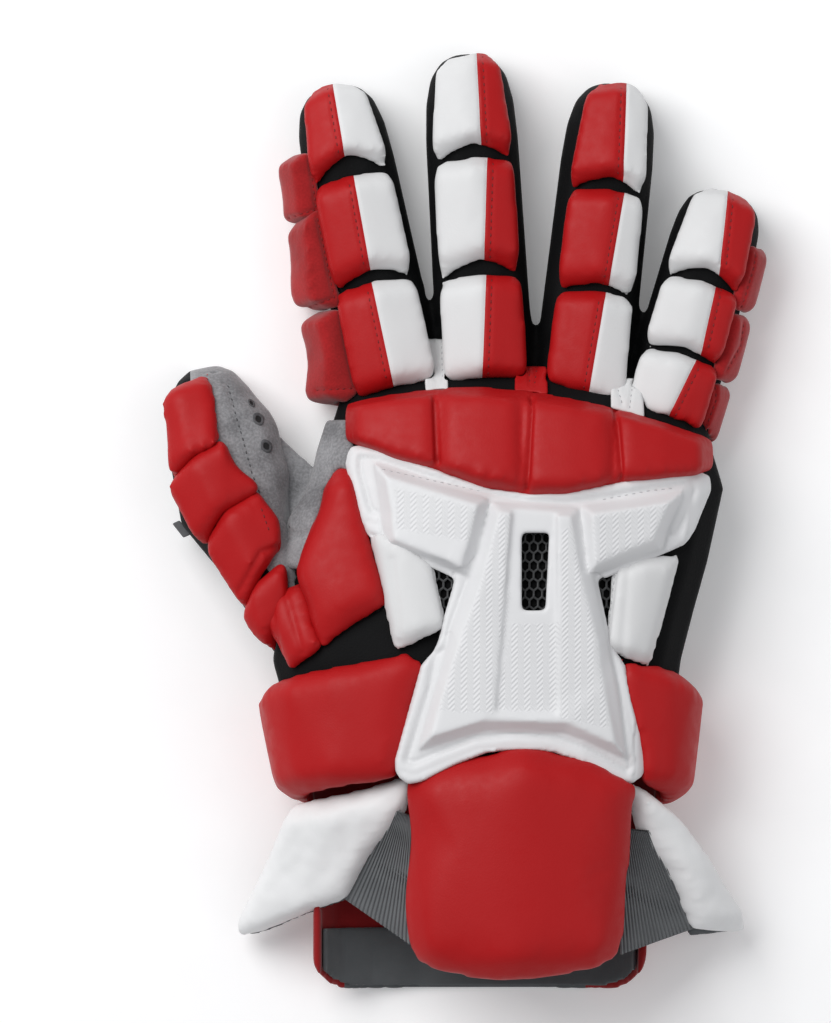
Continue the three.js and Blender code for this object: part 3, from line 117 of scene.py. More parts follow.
def piece_of(name, bm):
    """A new object in the scene from a bmesh, smooth shaded."""
    mesh = bpy.data.meshes.new(name)
    bm.to_mesh(mesh)
    bm.free()
    mesh.shade_smooth()
    made = bpy.data.objects.new(name, mesh)
    scene.collection.objects.link(made)
    return made


VIEW_HEIGHT = 358.05 * MM  # what the frame's 1023 pixels show, at the height of the pads
VIEW_MIDDLE = (-17.98 * MM, 3.8 * MM)
PAD_LEVEL = 35 * MM
LENS = 400.0
SENSOR = 36.0
camera_data = bpy.data.cameras.new("long_lens")
camera_data.lens = LENS
camera_data.sensor_width = SENSOR
camera_data.clip_end = 20.0
camera = bpy.data.objects.new("long_lens", camera_data)
camera.location = (*VIEW_MIDDLE, PAD_LEVEL + VIEW_HEIGHT * LENS / SENSOR)
scene.collection.objects.link(camera)
scene.camera = camera

# name, size in metres, place, watts
SOFT_BOXES = (
    ("upper_left_box", 1.1, (-0.75, 0.7, 1.25), 20.0),
    ("right_box", 1.4, (1.1, -0.3, 1.3), 3.5),
)
for name, size, place, watts in SOFT_BOXES:
    box_data = bpy.data.lights.new(name, "AREA")
    box_data.size = size
    box_data.energy = watts
    box = bpy.data.objects.new(name, box_data)
    box.location = place
    box.rotation_euler = (-Vector(place)).to_track_quat("-Z", "Y").to_euler()
    scene.collection.objects.link(box)
room = bpy.data.worlds.new("pale_room")
room.use_nodes = True
room.node_tree.nodes["Background"].inputs["Color"].default_value = linear("#F4F6FA")
room.node_tree.nodes["Background"].inputs["Strength"].default_value = 0.40
scene.world = room

card = bmesh.new()
bmesh.ops.create_grid(card, x_segments=4, y_segments=4, size=4.0)
bmesh.ops.translate(card, verts=card.verts, vec=(0, 0, -0.2 * MM))
table = piece_of("table", card)
pale_card, tree, shader, place = begin("pale_matt_card", roughness=0.95, specular_ior_level=0.1)
fibre = add(tree, "TexNoise", {"Vector": place, "Scale": per_metre(16.7), "Detail": 4.0})
colour_by(tree, shader, fibre.outputs["Fac"], "#F6F6F6", "#FBFBFB")
shader.inputs["Emission Color"].default_value = linear("#FFFFFF")
shader.inputs["Emission Strength"].default_value = 0.14  # lit from below a little, as on a light table
table.data.materials.append(pale_card)
table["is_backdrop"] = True

# The fabric shell: a hollow hand and four finger tubes, sewn up from black tricot on thin foam. It
# carries every pad, and shows on the sides of the fingers, in their crotches and beside the wrist.
SHELL_NODES = ("hand_shell", "index_shell", "middle_shell", "ring_shell", "little_shell")


def spots_of(mesh):
    """The mesh's vertices as rows of an array."""
    flat = np.empty(len(mesh.vertices) * 3)
    mesh.vertices.foreach_get("co", flat)
    return flat.reshape(-1, 3)


def facings_of(mesh):
    """The mesh's vertex normals as rows of an array."""
    flat = np.empty(len(mesh.vertices) * 3)
    mesh.vertex_normals.foreach_get("vector", flat)
    return flat.reshape(-1, 3)


UNDERSIDE = -0.3  # a normal's upward part, for faces on the underside


def move_to(mesh, spots):
    """Puts the mesh's vertices at the rows of an array."""
    mesh.vertices.foreach_set("co", spots.ravel())
    mesh.update()


def pull(piece, pulls):
    """Pulls the piece in plan. A pull is a place, how far the piece goes there, and the reach over
    which that fades, all in millimetres."""
    spots = spots_of(piece.data)
    plan = spots[:, :2] / MM
    shift = np.zeros_like(plan)
    for place, by, reach in pulls:
        far = np.linalg.norm(plan - place, axis=1)
        shift += np.exp(-((far / reach) ** 2))[:, None] * np.array(by)
    spots[:, :2] += shift * MM
    move_to(piece.data, spots)


# Stuffed, the thumb is a little fuller on its outer side than its solids
THUMB_FULLER = (((-95.9, 5.0), (-7.0, 0.0), 14.0),)


def solid_copy(name, nodes):
    """A new piece from copies of CAD solids, each with its doubles merged."""
    bm = bmesh.new()
    for node in nodes:
        bm.from_mesh(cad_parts[node].data)
    bmesh.ops.remove_doubles(bm, verts=bm.verts, dist=0.01 * MM)
    piece = piece_of(name, bm)
    pull(piece, THUMB_FULLER)
    return piece


def apply_modifiers(piece):
    """Gives the piece the mesh that its modifiers make of it, and takes them off."""
    evaluated = piece.evaluated_get(bpy.context.evaluated_depsgraph_get())
    mesh = bpy.data.meshes.new_from_object(evaluated)
    piece.modifiers.clear()
    piece.data = mesh
    mesh.shade_smooth()


def thicken(piece, thickness):
    """Gives an open sheet a thickness in millimetres."""
    wall = piece.modifiers.new("wall", "SOLIDIFY")
    wall.thickness = thickness * MM
    apply_modifiers(piece)


def grow(piece, distance):
    """Grows the piece on all sides by a distance in millimetres."""
    move_to(piece.data, spots_of(piece.data) + facings_of(piece.data) * distance * MM)


def relax(piece, rounds):
    """Smooths the piece's shape by a few rounds."""
    bm = bmesh.new()
    bm.from_mesh(piece.data)
    for _ in range(rounds):
        bmesh.ops.smooth_vert(
            bm, verts=bm.verts, factor=0.5, use_axis_x=True, use_axis_y=True, use_axis_z=True
        )
    bm.to_mesh(piece.data)
    bm.free()


def even(piece, spacing, rounds, grown=0.0):
    """Remeshes the piece at an even spacing, rounds its edges and grows it by what that took off, in
    millimetres."""
    remesh = piece.modifiers.new("even", "REMESH")
    remesh.mode = "VOXEL"
    remesh.voxel_size = spacing * MM
    apply_modifiers(piece)
    relax(piece, rounds)
    grow(piece, grown)
    return piece


def distance_to(spots, line):
    """How far each spot lies from a plan line, in millimetres."""
    plan = spots[:, :2] / MM
    far = np.full(len(plan), 1e9)
    for a, b in zip(np.array(line[:-1]), np.array(line[1:])):
        share = np.clip((plan - a) @ (b - a) / max((b - a) @ (b - a), 1e-9), 0, 1)
        far = np.minimum(far, np.linalg.norm(plan - a - share[:, None] * (b - a), axis=1))
    return far


def press(piece, lines, depth, width, facing=0.1):
    """Presses seams or creases into the piece's upper side along plan lines, in millimetres."""
    mesh = piece.data
    spots, facings = spots_of(mesh), facings_of(mesh)
    far = np.min([distance_to(spots, line) for line in lines], axis=0)
    sunk = depth * MM * np.exp(-((far / width) ** 2)) * (facings[:, 2] > facing)
    move_to(mesh, spots - facings * sunk[:, None])


def surface_of(piece):
    """A search tree of the piece's faces, to lay stitches on."""
    bm = bmesh.new()
    bm.from_mesh(piece.data)
    tree = BVHTree.FromBMesh(bm)
    bm.free()
    return tree


HIGH_UP = 0.2  # metres, above the whole glove


def drop(surface, x, y):
    """Where a line straight down at a plan place in millimetres first meets the surface, and its
    facing there, or None twice."""
    hit, facing, _, _ = surface.ray_cast(Vector((x * MM, y * MM, HIGH_UP)), Vector((0, 0, -1)))
    return hit, facing


def stations(line, pitch):
    """Points a pitch apart along a plan line, and the line's direction at each."""
    made = []
    onward = pitch / 2
    for (ax, ay), (bx, by) in zip(line, line[1:]):
        start, along = Vector((ax, ay, 0)), Vector((bx - ax, by - ay, 0))
        reach = along.length
        along.normalize()
        while onward < reach:
            made.append((start + along * onward, along))
            onward += pitch
        onward -= reach
    return made


STITCH = (1.5, 0.55, 0.4)  # length, width and height of a stitch, in millimetres


def sew(thread, surface, line, pitch=2.5, stitch=STITCH):
    """Lays a row of stitches along a plan line, each on the surface under it."""
    for spot, along in stations(line, pitch):
        hit, facing = drop(surface, spot.x, spot.y)
        if hit is None:
            continue
        side = facing.cross(along).normalized()
        turn = Matrix((side.cross(facing), side, facing)).transposed().to_4x4()
        half = Matrix.Diagonal([size * MM / 2 for size in stitch] + [1.0])
        bmesh.ops.create_icosphere(
            thread, subdivisions=1, radius=1.0, matrix=Matrix.Translation(hit) @ turn @ half
        )


def dress(piece, finishes, slot, *nodes):
    """What every piece says: its finishes, that it rides on the glove, and its nodes. The slot is not used.
    """
    for finish in finishes:
        piece.data.materials.append(finish)
    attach(piece, "root")
    if nodes:
        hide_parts(*nodes)


def knitted(name, low, high, loop, roughness):
    """Knitted or tricot fabric: loops too fine to see one by one, drawn at twice their real size."""
    made, tree, shader, place = begin(name, roughness=roughness, specular_ior_level=0.12)
    shader.inputs["Sheen Weight"].default_value = 0.02
    shader.inputs["Sheen Roughness"].default_value = 0.4
    loops = add(tree, "TexVoronoi", {"Vector": place, "Scale": per_metre(loop)})
    cloud = add(tree, "TexNoise", {"Vector": place, "Scale": per_metre(14.3), "Detail": 5.0})
    colour_by(tree, shader, cloud.outputs["Fac"], low, high)
    emboss(tree, shader, loops.outputs["Distance"], strength=0.6, depth=0.12)
    return made


def twisted(name, low, high, roughness=0.7):
    """Twisted polyester thread: fine bands, with painted shade between the strands."""
    made, tree, shader, place = begin(name, roughness=roughness)
    twist = add(tree, "TexWave", {"Vector": place, "Scale": per_metre(1.11)}, wave_type="BANDS")
    colour_by(tree, shader, twist.outputs["Fac"], low, high)
    return made


def sewn_in(name, thread, finish, slot):
    """The stitches of a thread as a piece of their own."""
    dress(piece_of(name, thread), [finish], slot)


# Its wall is about as thin as the spacing, so it is grown first, which keeps it whole
WALL_GROWN = 0.3
shell = solid_copy("fabric_shell", SHELL_NODES)
grow(shell, WALL_GROWN)
even(shell, spacing=1.45, rounds=3)
# Folds in the crotches of the fingers, and the seam that runs below the saddle
CROTCH_FOLDS = (
    [(-17.8, 71.5), (-15.0, 65.2), (-12.9, 63.5), (-10.1, 64.9), (-9.1, 70.1)],
    [(19.3, 62.4), (22.1, 59.6), (25.6, 60.3), (28.7, 65.2)],
    [(53.2, 51.9), (55.7, 48.8), (58.5, 49.8), (60.9, 54.0)],
)
SADDLE_SEAM = [(-52.1, -44.0), (-44.4, -37.7), (-36.0, -31.7), (-28.3, -30.3)]
press(shell, CROTCH_FOLDS, depth=0.7, width=0.9)
press(shell, [SADDLE_SEAM], depth=0.5, width=0.8)
black_tricot = knitted("black_tricot", "#070708", "#0F1011", loop=0.7, roughness=0.7)
dress(shell, [black_tricot], "black_fabric", *SHELL_NODES)

shell_thread = bmesh.new()
sew(shell_thread, surface_of(shell), SADDLE_SEAM, pitch=2.2)
black_thread = twisted("black_thread", "#040404", "#101010")
sewn_in("shell_stitches", shell_thread, black_thread, "black_fabric")

# The palm side: grey suede, cut as one sheet for the palm and the undersides of the fingers, a sleeve
# round the inside of the thumb, and a web from the thumb to the hand. Seams are sewn with grey
# thread, and the sleeve has small almond-shaped vents with a darker rim.


def brushed(name, low, high, patch, sheen):
    """Brushed leather: a short nap that catches light in soft patches, so nothing on it is glossy."""
    made, tree, shader, place = begin(name, roughness=0.92, specular_ior_level=0.15)
    shader.inputs["Sheen Weight"].default_value = sheen
    shader.inputs["Sheen Roughness"].default_value = 0.5
    nap = add(tree, "TexNoise", {"Vector": place, "Scale": per_metre(patch), "Detail": 6.0})
    cloud = add(tree, "TexNoise", {"Vector": place, "Scale": per_metre(18.2), "Detail": 2.0})
    mottle = add(
        tree,
        "Math",
        {0: nap.outputs["Fac"], 1: 0.65, 2: cloud.outputs["Fac"]},
        operation="MULTIPLY_ADD",
    )
    spread = add(
        tree, "MapRange", {"Value": mottle.outputs[0], "From Min": 0.6, "From Max": 1.05}
    )
    colour_by(tree, shader, spread.outputs[0], low, high)
    emboss(tree, shader, nap.outputs["Fac"], strength=0.5, depth=0.15)
    return made


grey_suede = brushed("grey_suede", "#6E6E70", "#A2A2A4", patch=0.9, sheen=0.3)

palm = even(solid_copy("palm_suede", ["palm"]), spacing=1.3, rounds=2)
# The undersides of the fingers are sewn to the palm along one line, with two creases below it
PALM_SEAMS = (
    [(-48, 26), (-20, 33), (12, 36), (45, 33), (80, 24)],
    [(-40, -4), (0, -12), (40, -10), (72, 0)],
    [(-38, 14), (-30, -30), (-8, -62), (2, -90)],
)
mesh = palm.data
spots, facings = spots_of(mesh), facings_of(mesh)
far = np.min([distance_to(spots, line) for line in PALM_SEAMS], axis=0)
spots[:, 2] += 0.7 * MM * np.exp(-((far / 1.3) ** 2)) * (facings[:, 2] < UNDERSIDE)
# Between the thumb and the hand the sheet rises to the sleeve and to the web
SLEEVE_EDGE = [(-84.3, 45.6), (-75.9, 37.9), (-69.6, 25.3), (-64.0, 7.8), (-61.2, -7.9)]
WEB_RISE, WEB_REACH = 13.0, 13.0
rise = WEB_RISE * np.exp(-((distance_to(spots, SLEEVE_EDGE) / WEB_REACH) ** 2))
spots[:, 2] += rise * MM
move_to(mesh, spots)
dress(palm, [grey_suede], "grey_suede", "palm")

# The thumb is one tube. Its inner side is suede, and its back and outer side are fabric; the two
# meet under the thumb's pads and at its tip.
THUMB_MIDDLE = [(-97.6, 56.8), (-96.9, 48.1), (-88.2, 25.3), (-79.4, 4.3), (-69.6, -16.7)]
# Its inner edge is drawn in over the crotch
THUMB_PULLS_IN = (((-69.6, 34.1), (4.5, 0.0), 10.0), ((-66.1, 18.3), (4.0, 0.0), 10.0))
thumb_tube = even(solid_copy("thumb_tube", ["thumb_palm", "thumb_shell"]), spacing=1.2, rounds=3, grown=0.6)
# Its grown underside is laid back on the table
for vertex in thumb_tube.data.vertices:
    vertex.co.z = max(vertex.co.z, 0.0)
pull(thumb_tube, THUMB_PULLS_IN)


def cut(bm, place, across):
    """Cuts the mesh's faces along an upright plane through a plan place, in millimetres."""
    geometry = [*bm.verts, *bm.edges, *bm.faces]
    spot = Vector((*place, 0)) * MM
    bmesh.ops.bisect_plane(bm, geom=geometry, dist=0.01 * MM, plane_co=spot, plane_no=(*across, 0))


def thumb_side(name, inner):
    """The thumb tube's faces on the inner side of its middle line, or those on the outer side."""
    bm = bmesh.new()
    bm.from_mesh(thumb_tube.data)
    sides = [(a, (a[1] - b[1], b[0] - a[0])) for a, b in zip(THUMB_MIDDLE, THUMB_MIDDLE[1:])]
    levels = [(a[1] + b[1]) / 2 for a, b in zip(THUMB_MIDDLE, THUMB_MIDDLE[1:])]
    for place, across in sides:
        cut(bm, place, across)
    away = []
    for face in bm.faces:
        x, y, _ = face.calc_center_median() / MM
        # The stretch of the middle line that is level with the face
        nearest = min(range(len(sides)), key=lambda k: abs(levels[k] - y))
        (ax, ay), (nx, ny) = sides[nearest]
        if ((x - ax) * nx + (y - ay) * ny > 0) != inner:
            away.append(face)
    bmesh.ops.delete(bm, geom=away, context="FACES")
    return piece_of(name, bm)


sleeve = thumb_side("thumb_sleeve", True)
thumb_back = thumb_side("thumb_back", False)
dress(thumb_back, [black_tricot], "black_fabric", "thumb_shell")
bpy.data.objects.remove(thumb_tube)
SLEEVE_SEAM = [(-84.0, 48.8), (-80.8, 36.9), (-78.4, 28.8), (-75.2, 16.9), (-71.7, 8.2), (-68.9, 2.9)]
press(sleeve, [SLEEVE_SEAM], depth=0.6, width=0.9)
dress(sleeve, [grey_suede], "grey_suede", "thumb_palm")

web = even(solid_copy("thumb_web", ["palm_web"]), spacing=0.9, rounds=4, grown=0.9)
WEB_PULLS = (((-59.1, 0.8), (-4.0, 0.0), 9.0), ((-58.4, -13.2), (-3.0, 0.0), 8.0))
pull(web, WEB_PULLS)
WEB_FOLDS = (
    [(-69.6, 3.6), (-64.4, -2.7), (-58.4, -4.8), (-53.5, -3.0)],
    [(-66.8, -8.3), (-62.6, -5.5), (-57.7, -4.4)],
)
press(web, WEB_FOLDS, depth=0.8, width=1.2)
dress(web, [grey_suede], "grey_suede", "palm_web")

WEB_SEAM = [(-71.7, 3.6), (-66.8, 0.8), (-61.9, -1.6)]
suede_thread = bmesh.new()
for piece, line in ((sleeve, SLEEVE_SEAM), (web, WEB_SEAM)):
    sew(suede_thread, surface_of(piece), line, pitch=2.4, stitch=(1.4, 0.6, 0.5))
grey_thread = twisted("grey_thread", "#3C3C3E", "#58585A")
sewn_in("suede_stitches", suede_thread, grey_thread, "grey_suede")

# The sleeve's vents: middle, half length, half width in millimetres, and the way they point
VENTS = (
    ((-73.1, 36.2), 2.6, 2.0, 118),
    ((-70.3, 26.7), 2.7, 2.1, 115),
    ((-75.6, 41.8), 1.8, 1.0, 125),
    ((-65.4, 26.4), 1.9, 1.0, 128),
)
VENT_SIDES = 20
# The rings of a vent from its edge inwards: share of its size, and height over the suede in
# millimetres. The faces at the last ring are the hole, a flat disc in painted shade.
VENT_RINGS = ((1.0, -0.2), (0.9, 0.35), (0.66, 0.35), (0.52, 0.1), (0.0, 0.1))
vents = bmesh.new()
suede_surfaces = (surface_of(sleeve), surface_of(palm))


def on_top(surfaces, x, y):
    """The highest place of the surfaces at a plan place in millimetres and its facing, or None."""
    found = [drop(surface, x, y) for surface in surfaces]
    return max((place for place in found if place[0]), key=lambda place: place[0].z, default=None)


for (x, y), half_length, half_width, angle in VENTS:
    turn = math.radians(angle)
    rings = []
    for share, height in VENT_RINGS:
        ring = []
        for k in range(VENT_SIDES):
            a = math.tau * k / VENT_SIDES
            along = share * half_length * math.cos(a)
            aside = share * half_width * math.sin(a) * (1 - 0.25 * abs(math.cos(a)))
            u = x + along * math.cos(turn) - aside * math.sin(turn)
            v = y + along * math.sin(turn) + aside * math.cos(turn)
            found = on_top(suede_surfaces, u, v)
            if found:
                ring.append(vents.verts.new(found[0] + found[1] * height * MM))
        rings.append(ring)
    if min(len(ring) for ring in rings) < VENT_SIDES:
        continue
    for outer, inner in zip(rings, rings[1:]):
        for k in range(VENT_SIDES):
            following = (k + 1) % VENT_SIDES
            corners = (outer[k], outer[following], inner[following], inner[k])
            vents.faces.new(corners).material_index = int(inner is rings[-1])
bmesh.ops.remove_doubles(vents, verts=vents.verts, dist=0.001 * MM)
bmesh.ops.delete(vents, geom=[v for v in vents.verts if not v.link_faces], context="VERTS")
bmesh.ops.recalc_face_normals(vents, faces=vents.faces)
thumb_vents = piece_of("thumb_vents", vents)
vent_rim = brushed("pressed_suede_rim", "#4A4A4C", "#6A6A6C", patch=0.8, sheen=0.1)
# The hole is a flat disc painted near black: painted shade where the vent opens into the glove
vent_hole_painted_shade, tree, shader, place = begin("vent_hole_painted_shade", roughness=0.95)
depth = add(tree, "TexNoise", {"Vector": place, "Scale": per_metre(1.11)})
colour_by(tree, shader, depth.outputs["Fac"], "#111112", "#242425")
dress(thumb_vents, [vent_rim, vent_hole_painted_shade], "grey_suede")

# The finger pads: three on each finger, each a foam block under a cover of smooth polyurethane
# leather. The cover is sewn lengthways from a red and a white panel, with a row of red stitches
# beside the seam, and its edges are sewn down to the shell.


def leather(name, low, high, grain, roughness):
    """Polyurethane leather: a fine pebble grain under a satin coat that is worn a little unevenly."""
    made, tree, shader, place = begin(name, roughness=roughness, specular_ior_level=0.22)
    pebble = add(
        tree,
        "TexVoronoi",
        {"Vector": place, "Scale": per_metre(grain), "Smoothness": 0.6},
        feature="SMOOTH_F1",
    )
    cloud = add(tree, "TexNoise", {"Vector": place, "Scale": per_metre(26.3), "Detail": 4.0})
    scuff = add(tree, "TexNoise", {"Vector": place, "Scale": per_metre(3.85), "Detail": 5.0})
    colour_by(tree, shader, cloud.outputs["Fac"], low, high)
    worn = add(
        tree,
        "MapRange",
        {
            "Value": scuff.outputs["Fac"],
            "From Min": 0.3,
            "From Max": 0.7,
            "To Min": roughness - 0.06,
            "To Max": roughness + 0.08,
        },
    )
    tree.links.new(worn.outputs[0], shader.inputs["Roughness"])
    height = add(
        tree,
        "Math",
        {0: pebble.outputs["Distance"], 1: 0.7, 2: scuff.outputs["Fac"]},
        operation="MULTIPLY_ADD",
    )
    emboss(tree, shader, height.outputs[0], strength=0.35, depth=0.1)
    return made


red_leather = leather("smooth_red_leather", "#A80F12", "#B2171A", grain=0.6, roughness=0.5)
white_leather = leather("smooth_white_leather", "#D4D4D4", "#E0E0E0", grain=0.7, roughness=0.5)
red_thread = twisted("red_thread", "#5E0E10", "#8A191B", roughness=0.65)

# What the pads are sewn to: their edges there are held while the foam fills the rest
skin_piece = solid_copy("skin", [*SHELL_NODES, "thumb_shell", "thumb_palm"])
skin = surface_of(skin_piece)
bpy.data.objects.remove(skin_piece)
SEWN_WITHIN = 1.5  # millimetres from the skin
FOAM_PRESSURE = 4.0
FOAM_STEPS = 20


def fill(pieces, most, free=False):
    """Foam fills the covers: cloth pressure swells each, by most millimetres at the most, except
    where it is sewn down, or on its underside where it hangs free."""
    starts = {}
    for piece in pieces:
        spots, facings = spots_of(piece.data), facings_of(piece.data)
        starts[piece.name] = spots
        if free:
            held = np.flatnonzero(facings[:, 2] < UNDERSIDE)
        else:
            near = (skin.find_nearest(Vector(spot), SEWN_WITHIN * MM)[0] for spot in spots)
            held = [i for i, place in enumerate(near) if place]
        piece.vertex_groups.new(name="sewn").add([int(i) for i in held], 1.0, "ADD")
        cloth = piece.modifiers.new("foam", "CLOTH")
        cloth.settings.use_pressure = True
        cloth.settings.uniform_pressure_force = FOAM_PRESSURE
        cloth.settings.vertex_group_mass = "sewn"
        cloth.settings.mass = 0.05
        cloth.settings.effector_weights.gravity = 0.0
        cloth.point_cache.frame_start = 1
        cloth.point_cache.frame_end = FOAM_STEPS
    for step in range(1, FOAM_STEPS + 1):
        scene.frame_set(step)
    for piece in pieces:
        apply_modifiers(piece)
        start, spots = starts[piece.name], spots_of(piece.data)
        far = np.linalg.norm(spots - start, axis=1)
        capped = start + (spots - start) * np.minimum(1, most * MM / np.maximum(far, 1e-9))[:, None]
        move_to(piece.data, capped)
        piece.vertex_groups.clear()
        relax(piece, 2)
    scene.frame_set(1)


def divide(piece):
    """Rounds the piece with one subdivision."""
    finer = piece.modifiers.new("finer", "SUBSURF")
    finer.levels = finer.render_levels = 1
    apply_modifiers(piece)


def foam_pads(nodes, spacing, rounds, most, grown=0.8, pulls=(), free=False):
    """Foam pads of the nodes' shapes, pulled where they reach further, filled and finely divided."""
    made = [even(solid_copy(f"{node}_cover", [node]), spacing, rounds, grown) for node in nodes]
    for piece in made:
        pull(piece, dict(pulls).get(piece.name.removesuffix("_cover"), ()))
    fill(made, most, free)
    for piece in made:
        divide(piece)
    return made


# node, the seam from its upper to its lower end, colour of the left panel
FINGER_PADS = (
    ("index_pad_1", [(-32.9, 81.9), (-25.9, 48.9)], "red"),
    ("index_pad_2", [(-39.3, 119.4), (-33.9, 89.4)], "red"),
    ("index_pad_3", [(-47.0, 153.6), (-42.9, 129.2)], "red"),
    ("middle_pad_1", [(6.8, 86.0), (5.4, 50.7)], "white"),
    ("middle_pad_2", [(7.2, 126.8), (6.1, 92.2)], "white"),
    ("middle_pad_3", [(3.5, 164.6), (5.0, 132.8)], "white"),
    ("ring_pad_1", [(48.3, 77.7), (42.9, 46.5)], "red"),
    ("ring_pad_2", [(55.1, 114.2), (49.7, 82.7)], "red"),
    ("ring_pad_3", [(56.2, 153.5), (54.9, 121.2)], "red"),
    ("little_pad_1", [(79.7, 55.4), (70.4, 36.5)], "white"),
    ("little_pad_2", [(87.4, 82.9), (82.5, 61.0)], "white"),
    ("little_pad_3", [(91.5, 114.6), (88.8, 90.3)], "white"),
)
STITCH_OFFSET = 2.0  # from the seam to the row of stitches, on the red panel


def beside(line, offset):
    """The plan line moved to its left by an offset in millimetres, seen along it."""
    (ax, ay), (bx, by) = line[0], line[-1]
    reach = math.hypot(bx - ax, by - ay)
    x, y = -(by - ay) / reach * offset, (bx - ax) / reach * offset
    return [(px + x, py + y) for px, py in line]


# The fingertip pads reach over the tips, and two of the lowest pads down to the webs
FINGER_PULLS = {
    "index_pad_3": (((-47.9, 151.3), (-0.5, 2.0), 7.0),),
    "middle_pad_3": (((2.8, 161.8), (0.0, 1.5), 8.0),),
    "ring_pad_3": (((54.3, 150.6), (0.5, 2.0), 8.0),),
    "little_pad_3": (((89.3, 112.8), (0.5, 1.5), 8.0),),
    "ring_pad_1": (((50.1, 47.7), (0.5, -4.5), 8.0), ((37.8, 48.4), (0.0, -1.5), 8.0)),
    "little_pad_1": (((62.7, 44.2), (-1.5, -2.5), 6.0),),
}
# The pads at the fingertips thin out to an edge, so their mesh is finer
PAD_SPACING, TIP_SPACING = 1.4, 1.1
finger_covers = []
for row in FINGER_PADS:
    at_tip = row[0].endswith("3")
    spacing, rounds = (TIP_SPACING, 6) if at_tip else (PAD_SPACING, 4)
    finger_covers += foam_pads([row[0]], spacing, rounds, most=0.9, grown=0.9, pulls=FINGER_PULLS)
finger_thread = bmesh.new()
for cover, (node, seam, left) in zip(finger_covers, FINGER_PADS):
    (ax, ay), (bx, by) = seam
    bm = bmesh.new()
    bm.from_mesh(cover.data)
    start, right = Vector((ax * MM, ay * MM, 0)), Vector((ay - by, bx - ax, 0)).normalized()
    cut(bm, seam[0], right.xy)
    for face in bm.faces:
        face.material_index = int((face.calc_center_median() - start).dot(right) > 0)
    bm.to_mesh(cover.data)
    bm.free()
    cover.data.shade_smooth()
    row = beside(seam, -STITCH_OFFSET if left == "red" else STITCH_OFFSET)
    press(cover, [seam], depth=0.4, width=0.55)
    press(cover, [row], depth=0.3, width=0.8)
    finishes = (red_leather, white_leather) if left == "red" else (white_leather, red_leather)
    sew(finger_thread, surface_of(cover), row)
    dress(cover, finishes, "red_and_white_leather", node)
sewn_in("finger_pad_stitches", finger_thread, red_thread, "red_leather")

# The side pads on the outer sides of the index and little fingers: foam under brushed red leather,
# each with a row of stitches a little way in from its two lower edges.
red_nubuck = brushed("red_nubuck", "#8E1618", "#AA2023", patch=0.8, sheen=0.35)
# node, the plan line of its stitches
SIDE_PADS = (
    ("index_side_pad_1", [(-44.4, 73.6), (-39.2, 47.0), (-52.8, 46.3)]),
    ("index_side_pad_2", [(-52.5, 107.2), (-46.5, 78.9), (-58.4, 74.3)]),
    ("index_side_pad_3", [(-55.3, 128.2), (-52.8, 109.7), (-62.6, 106.9)]),
    ("little_side_pad_1", [(87.2, 48.1), (87.5, 42.8), (83.3, 31.6)]),
    ("little_side_pad_2", [(97.3, 70.1), (96.3, 62.1), (91.0, 52.6)]),
    ("little_side_pad_3", [(101.5, 94.6), (100.5, 88.3), (96.3, 75.0)]),
)
SIDE_PULLS = {
    "index_side_pad_1": (((-54.9, 70.8), (-1.5, 1.5), 8.0), ((-52.1, 44.6), (-3.5, 0.0), 9.0)),
    "index_side_pad_2": (((-54.2, 104.1), (0.0, 4.0), 8.0), ((-57.7, 80.6), (-2.5, -0.5), 9.0)),
    "index_side_pad_3": (((-60.2, 106.5), (-2.0, -2.0), 8.0), ((-63.7, 121.6), (-1.0, 0.0), 8.0)),
}
side_covers = foam_pads(
    [row[0] for row in SIDE_PADS], spacing=1.15, rounds=1, most=0.3, grown=0.5, pulls=SIDE_PULLS
)
side_thread = bmesh.new()
for cover, (node, line) in zip(side_covers, SIDE_PADS):
    press(cover, [line], depth=0.45, width=0.7, facing=-0.2)
    sew(side_thread, surface_of(cover), line, pitch=2.3)
    dress(cover, [red_nubuck], "red_nubuck", node)
sewn_in("side_pad_stitches", side_thread, red_thread, "red_leather")

# The webs between the finger bases: folded leather, two of them white and one red, each sewn with
# two rows of stitches that run up to the crotch.
pale_thread = twisted("pale_thread", "#A8A8AA", "#C8C8CA")
# node, its two rows of stitches, slot
FINGER_WEBS = (
    ("finger_web_1", ([(-14.6, 62.8), (-11.3, 50.5)], [(-8.9, 64.4), (-8.4, 49.5)]), "white_leather"),
    ("finger_web_2", ([(21.5, 56.5), (22.1, 48.2)], [(24.8, 55.9), (23.7, 48.2)]), "red_leather"),
    ("finger_web_3", ([(52.7, 47.1), (54.4, 41.1)], [(58.1, 49.3), (56.9, 40.0)]), "white_leather"),
)
WEB_FINISHES = {
    "white_leather": (white_leather, pale_thread),
    "red_leather": (red_leather, red_thread),
}
for node, rows, slot in FINGER_WEBS:
    finish, thread_finish = WEB_FINISHES[slot]
    web_cover = even(solid_copy(f"{node}_cover", [node]), spacing=0.6, rounds=5)
    press(web_cover, rows, depth=0.35, width=0.6)
    dress(web_cover, [finish], slot, node)
    web_thread = bmesh.new()
    for row in rows:
        sew(web_thread, surface_of(web_cover), row, pitch=2.0, stitch=(1.2, 0.5, 0.35))
    sewn_in(f"{node}_stitches", web_thread, thread_finish, slot)

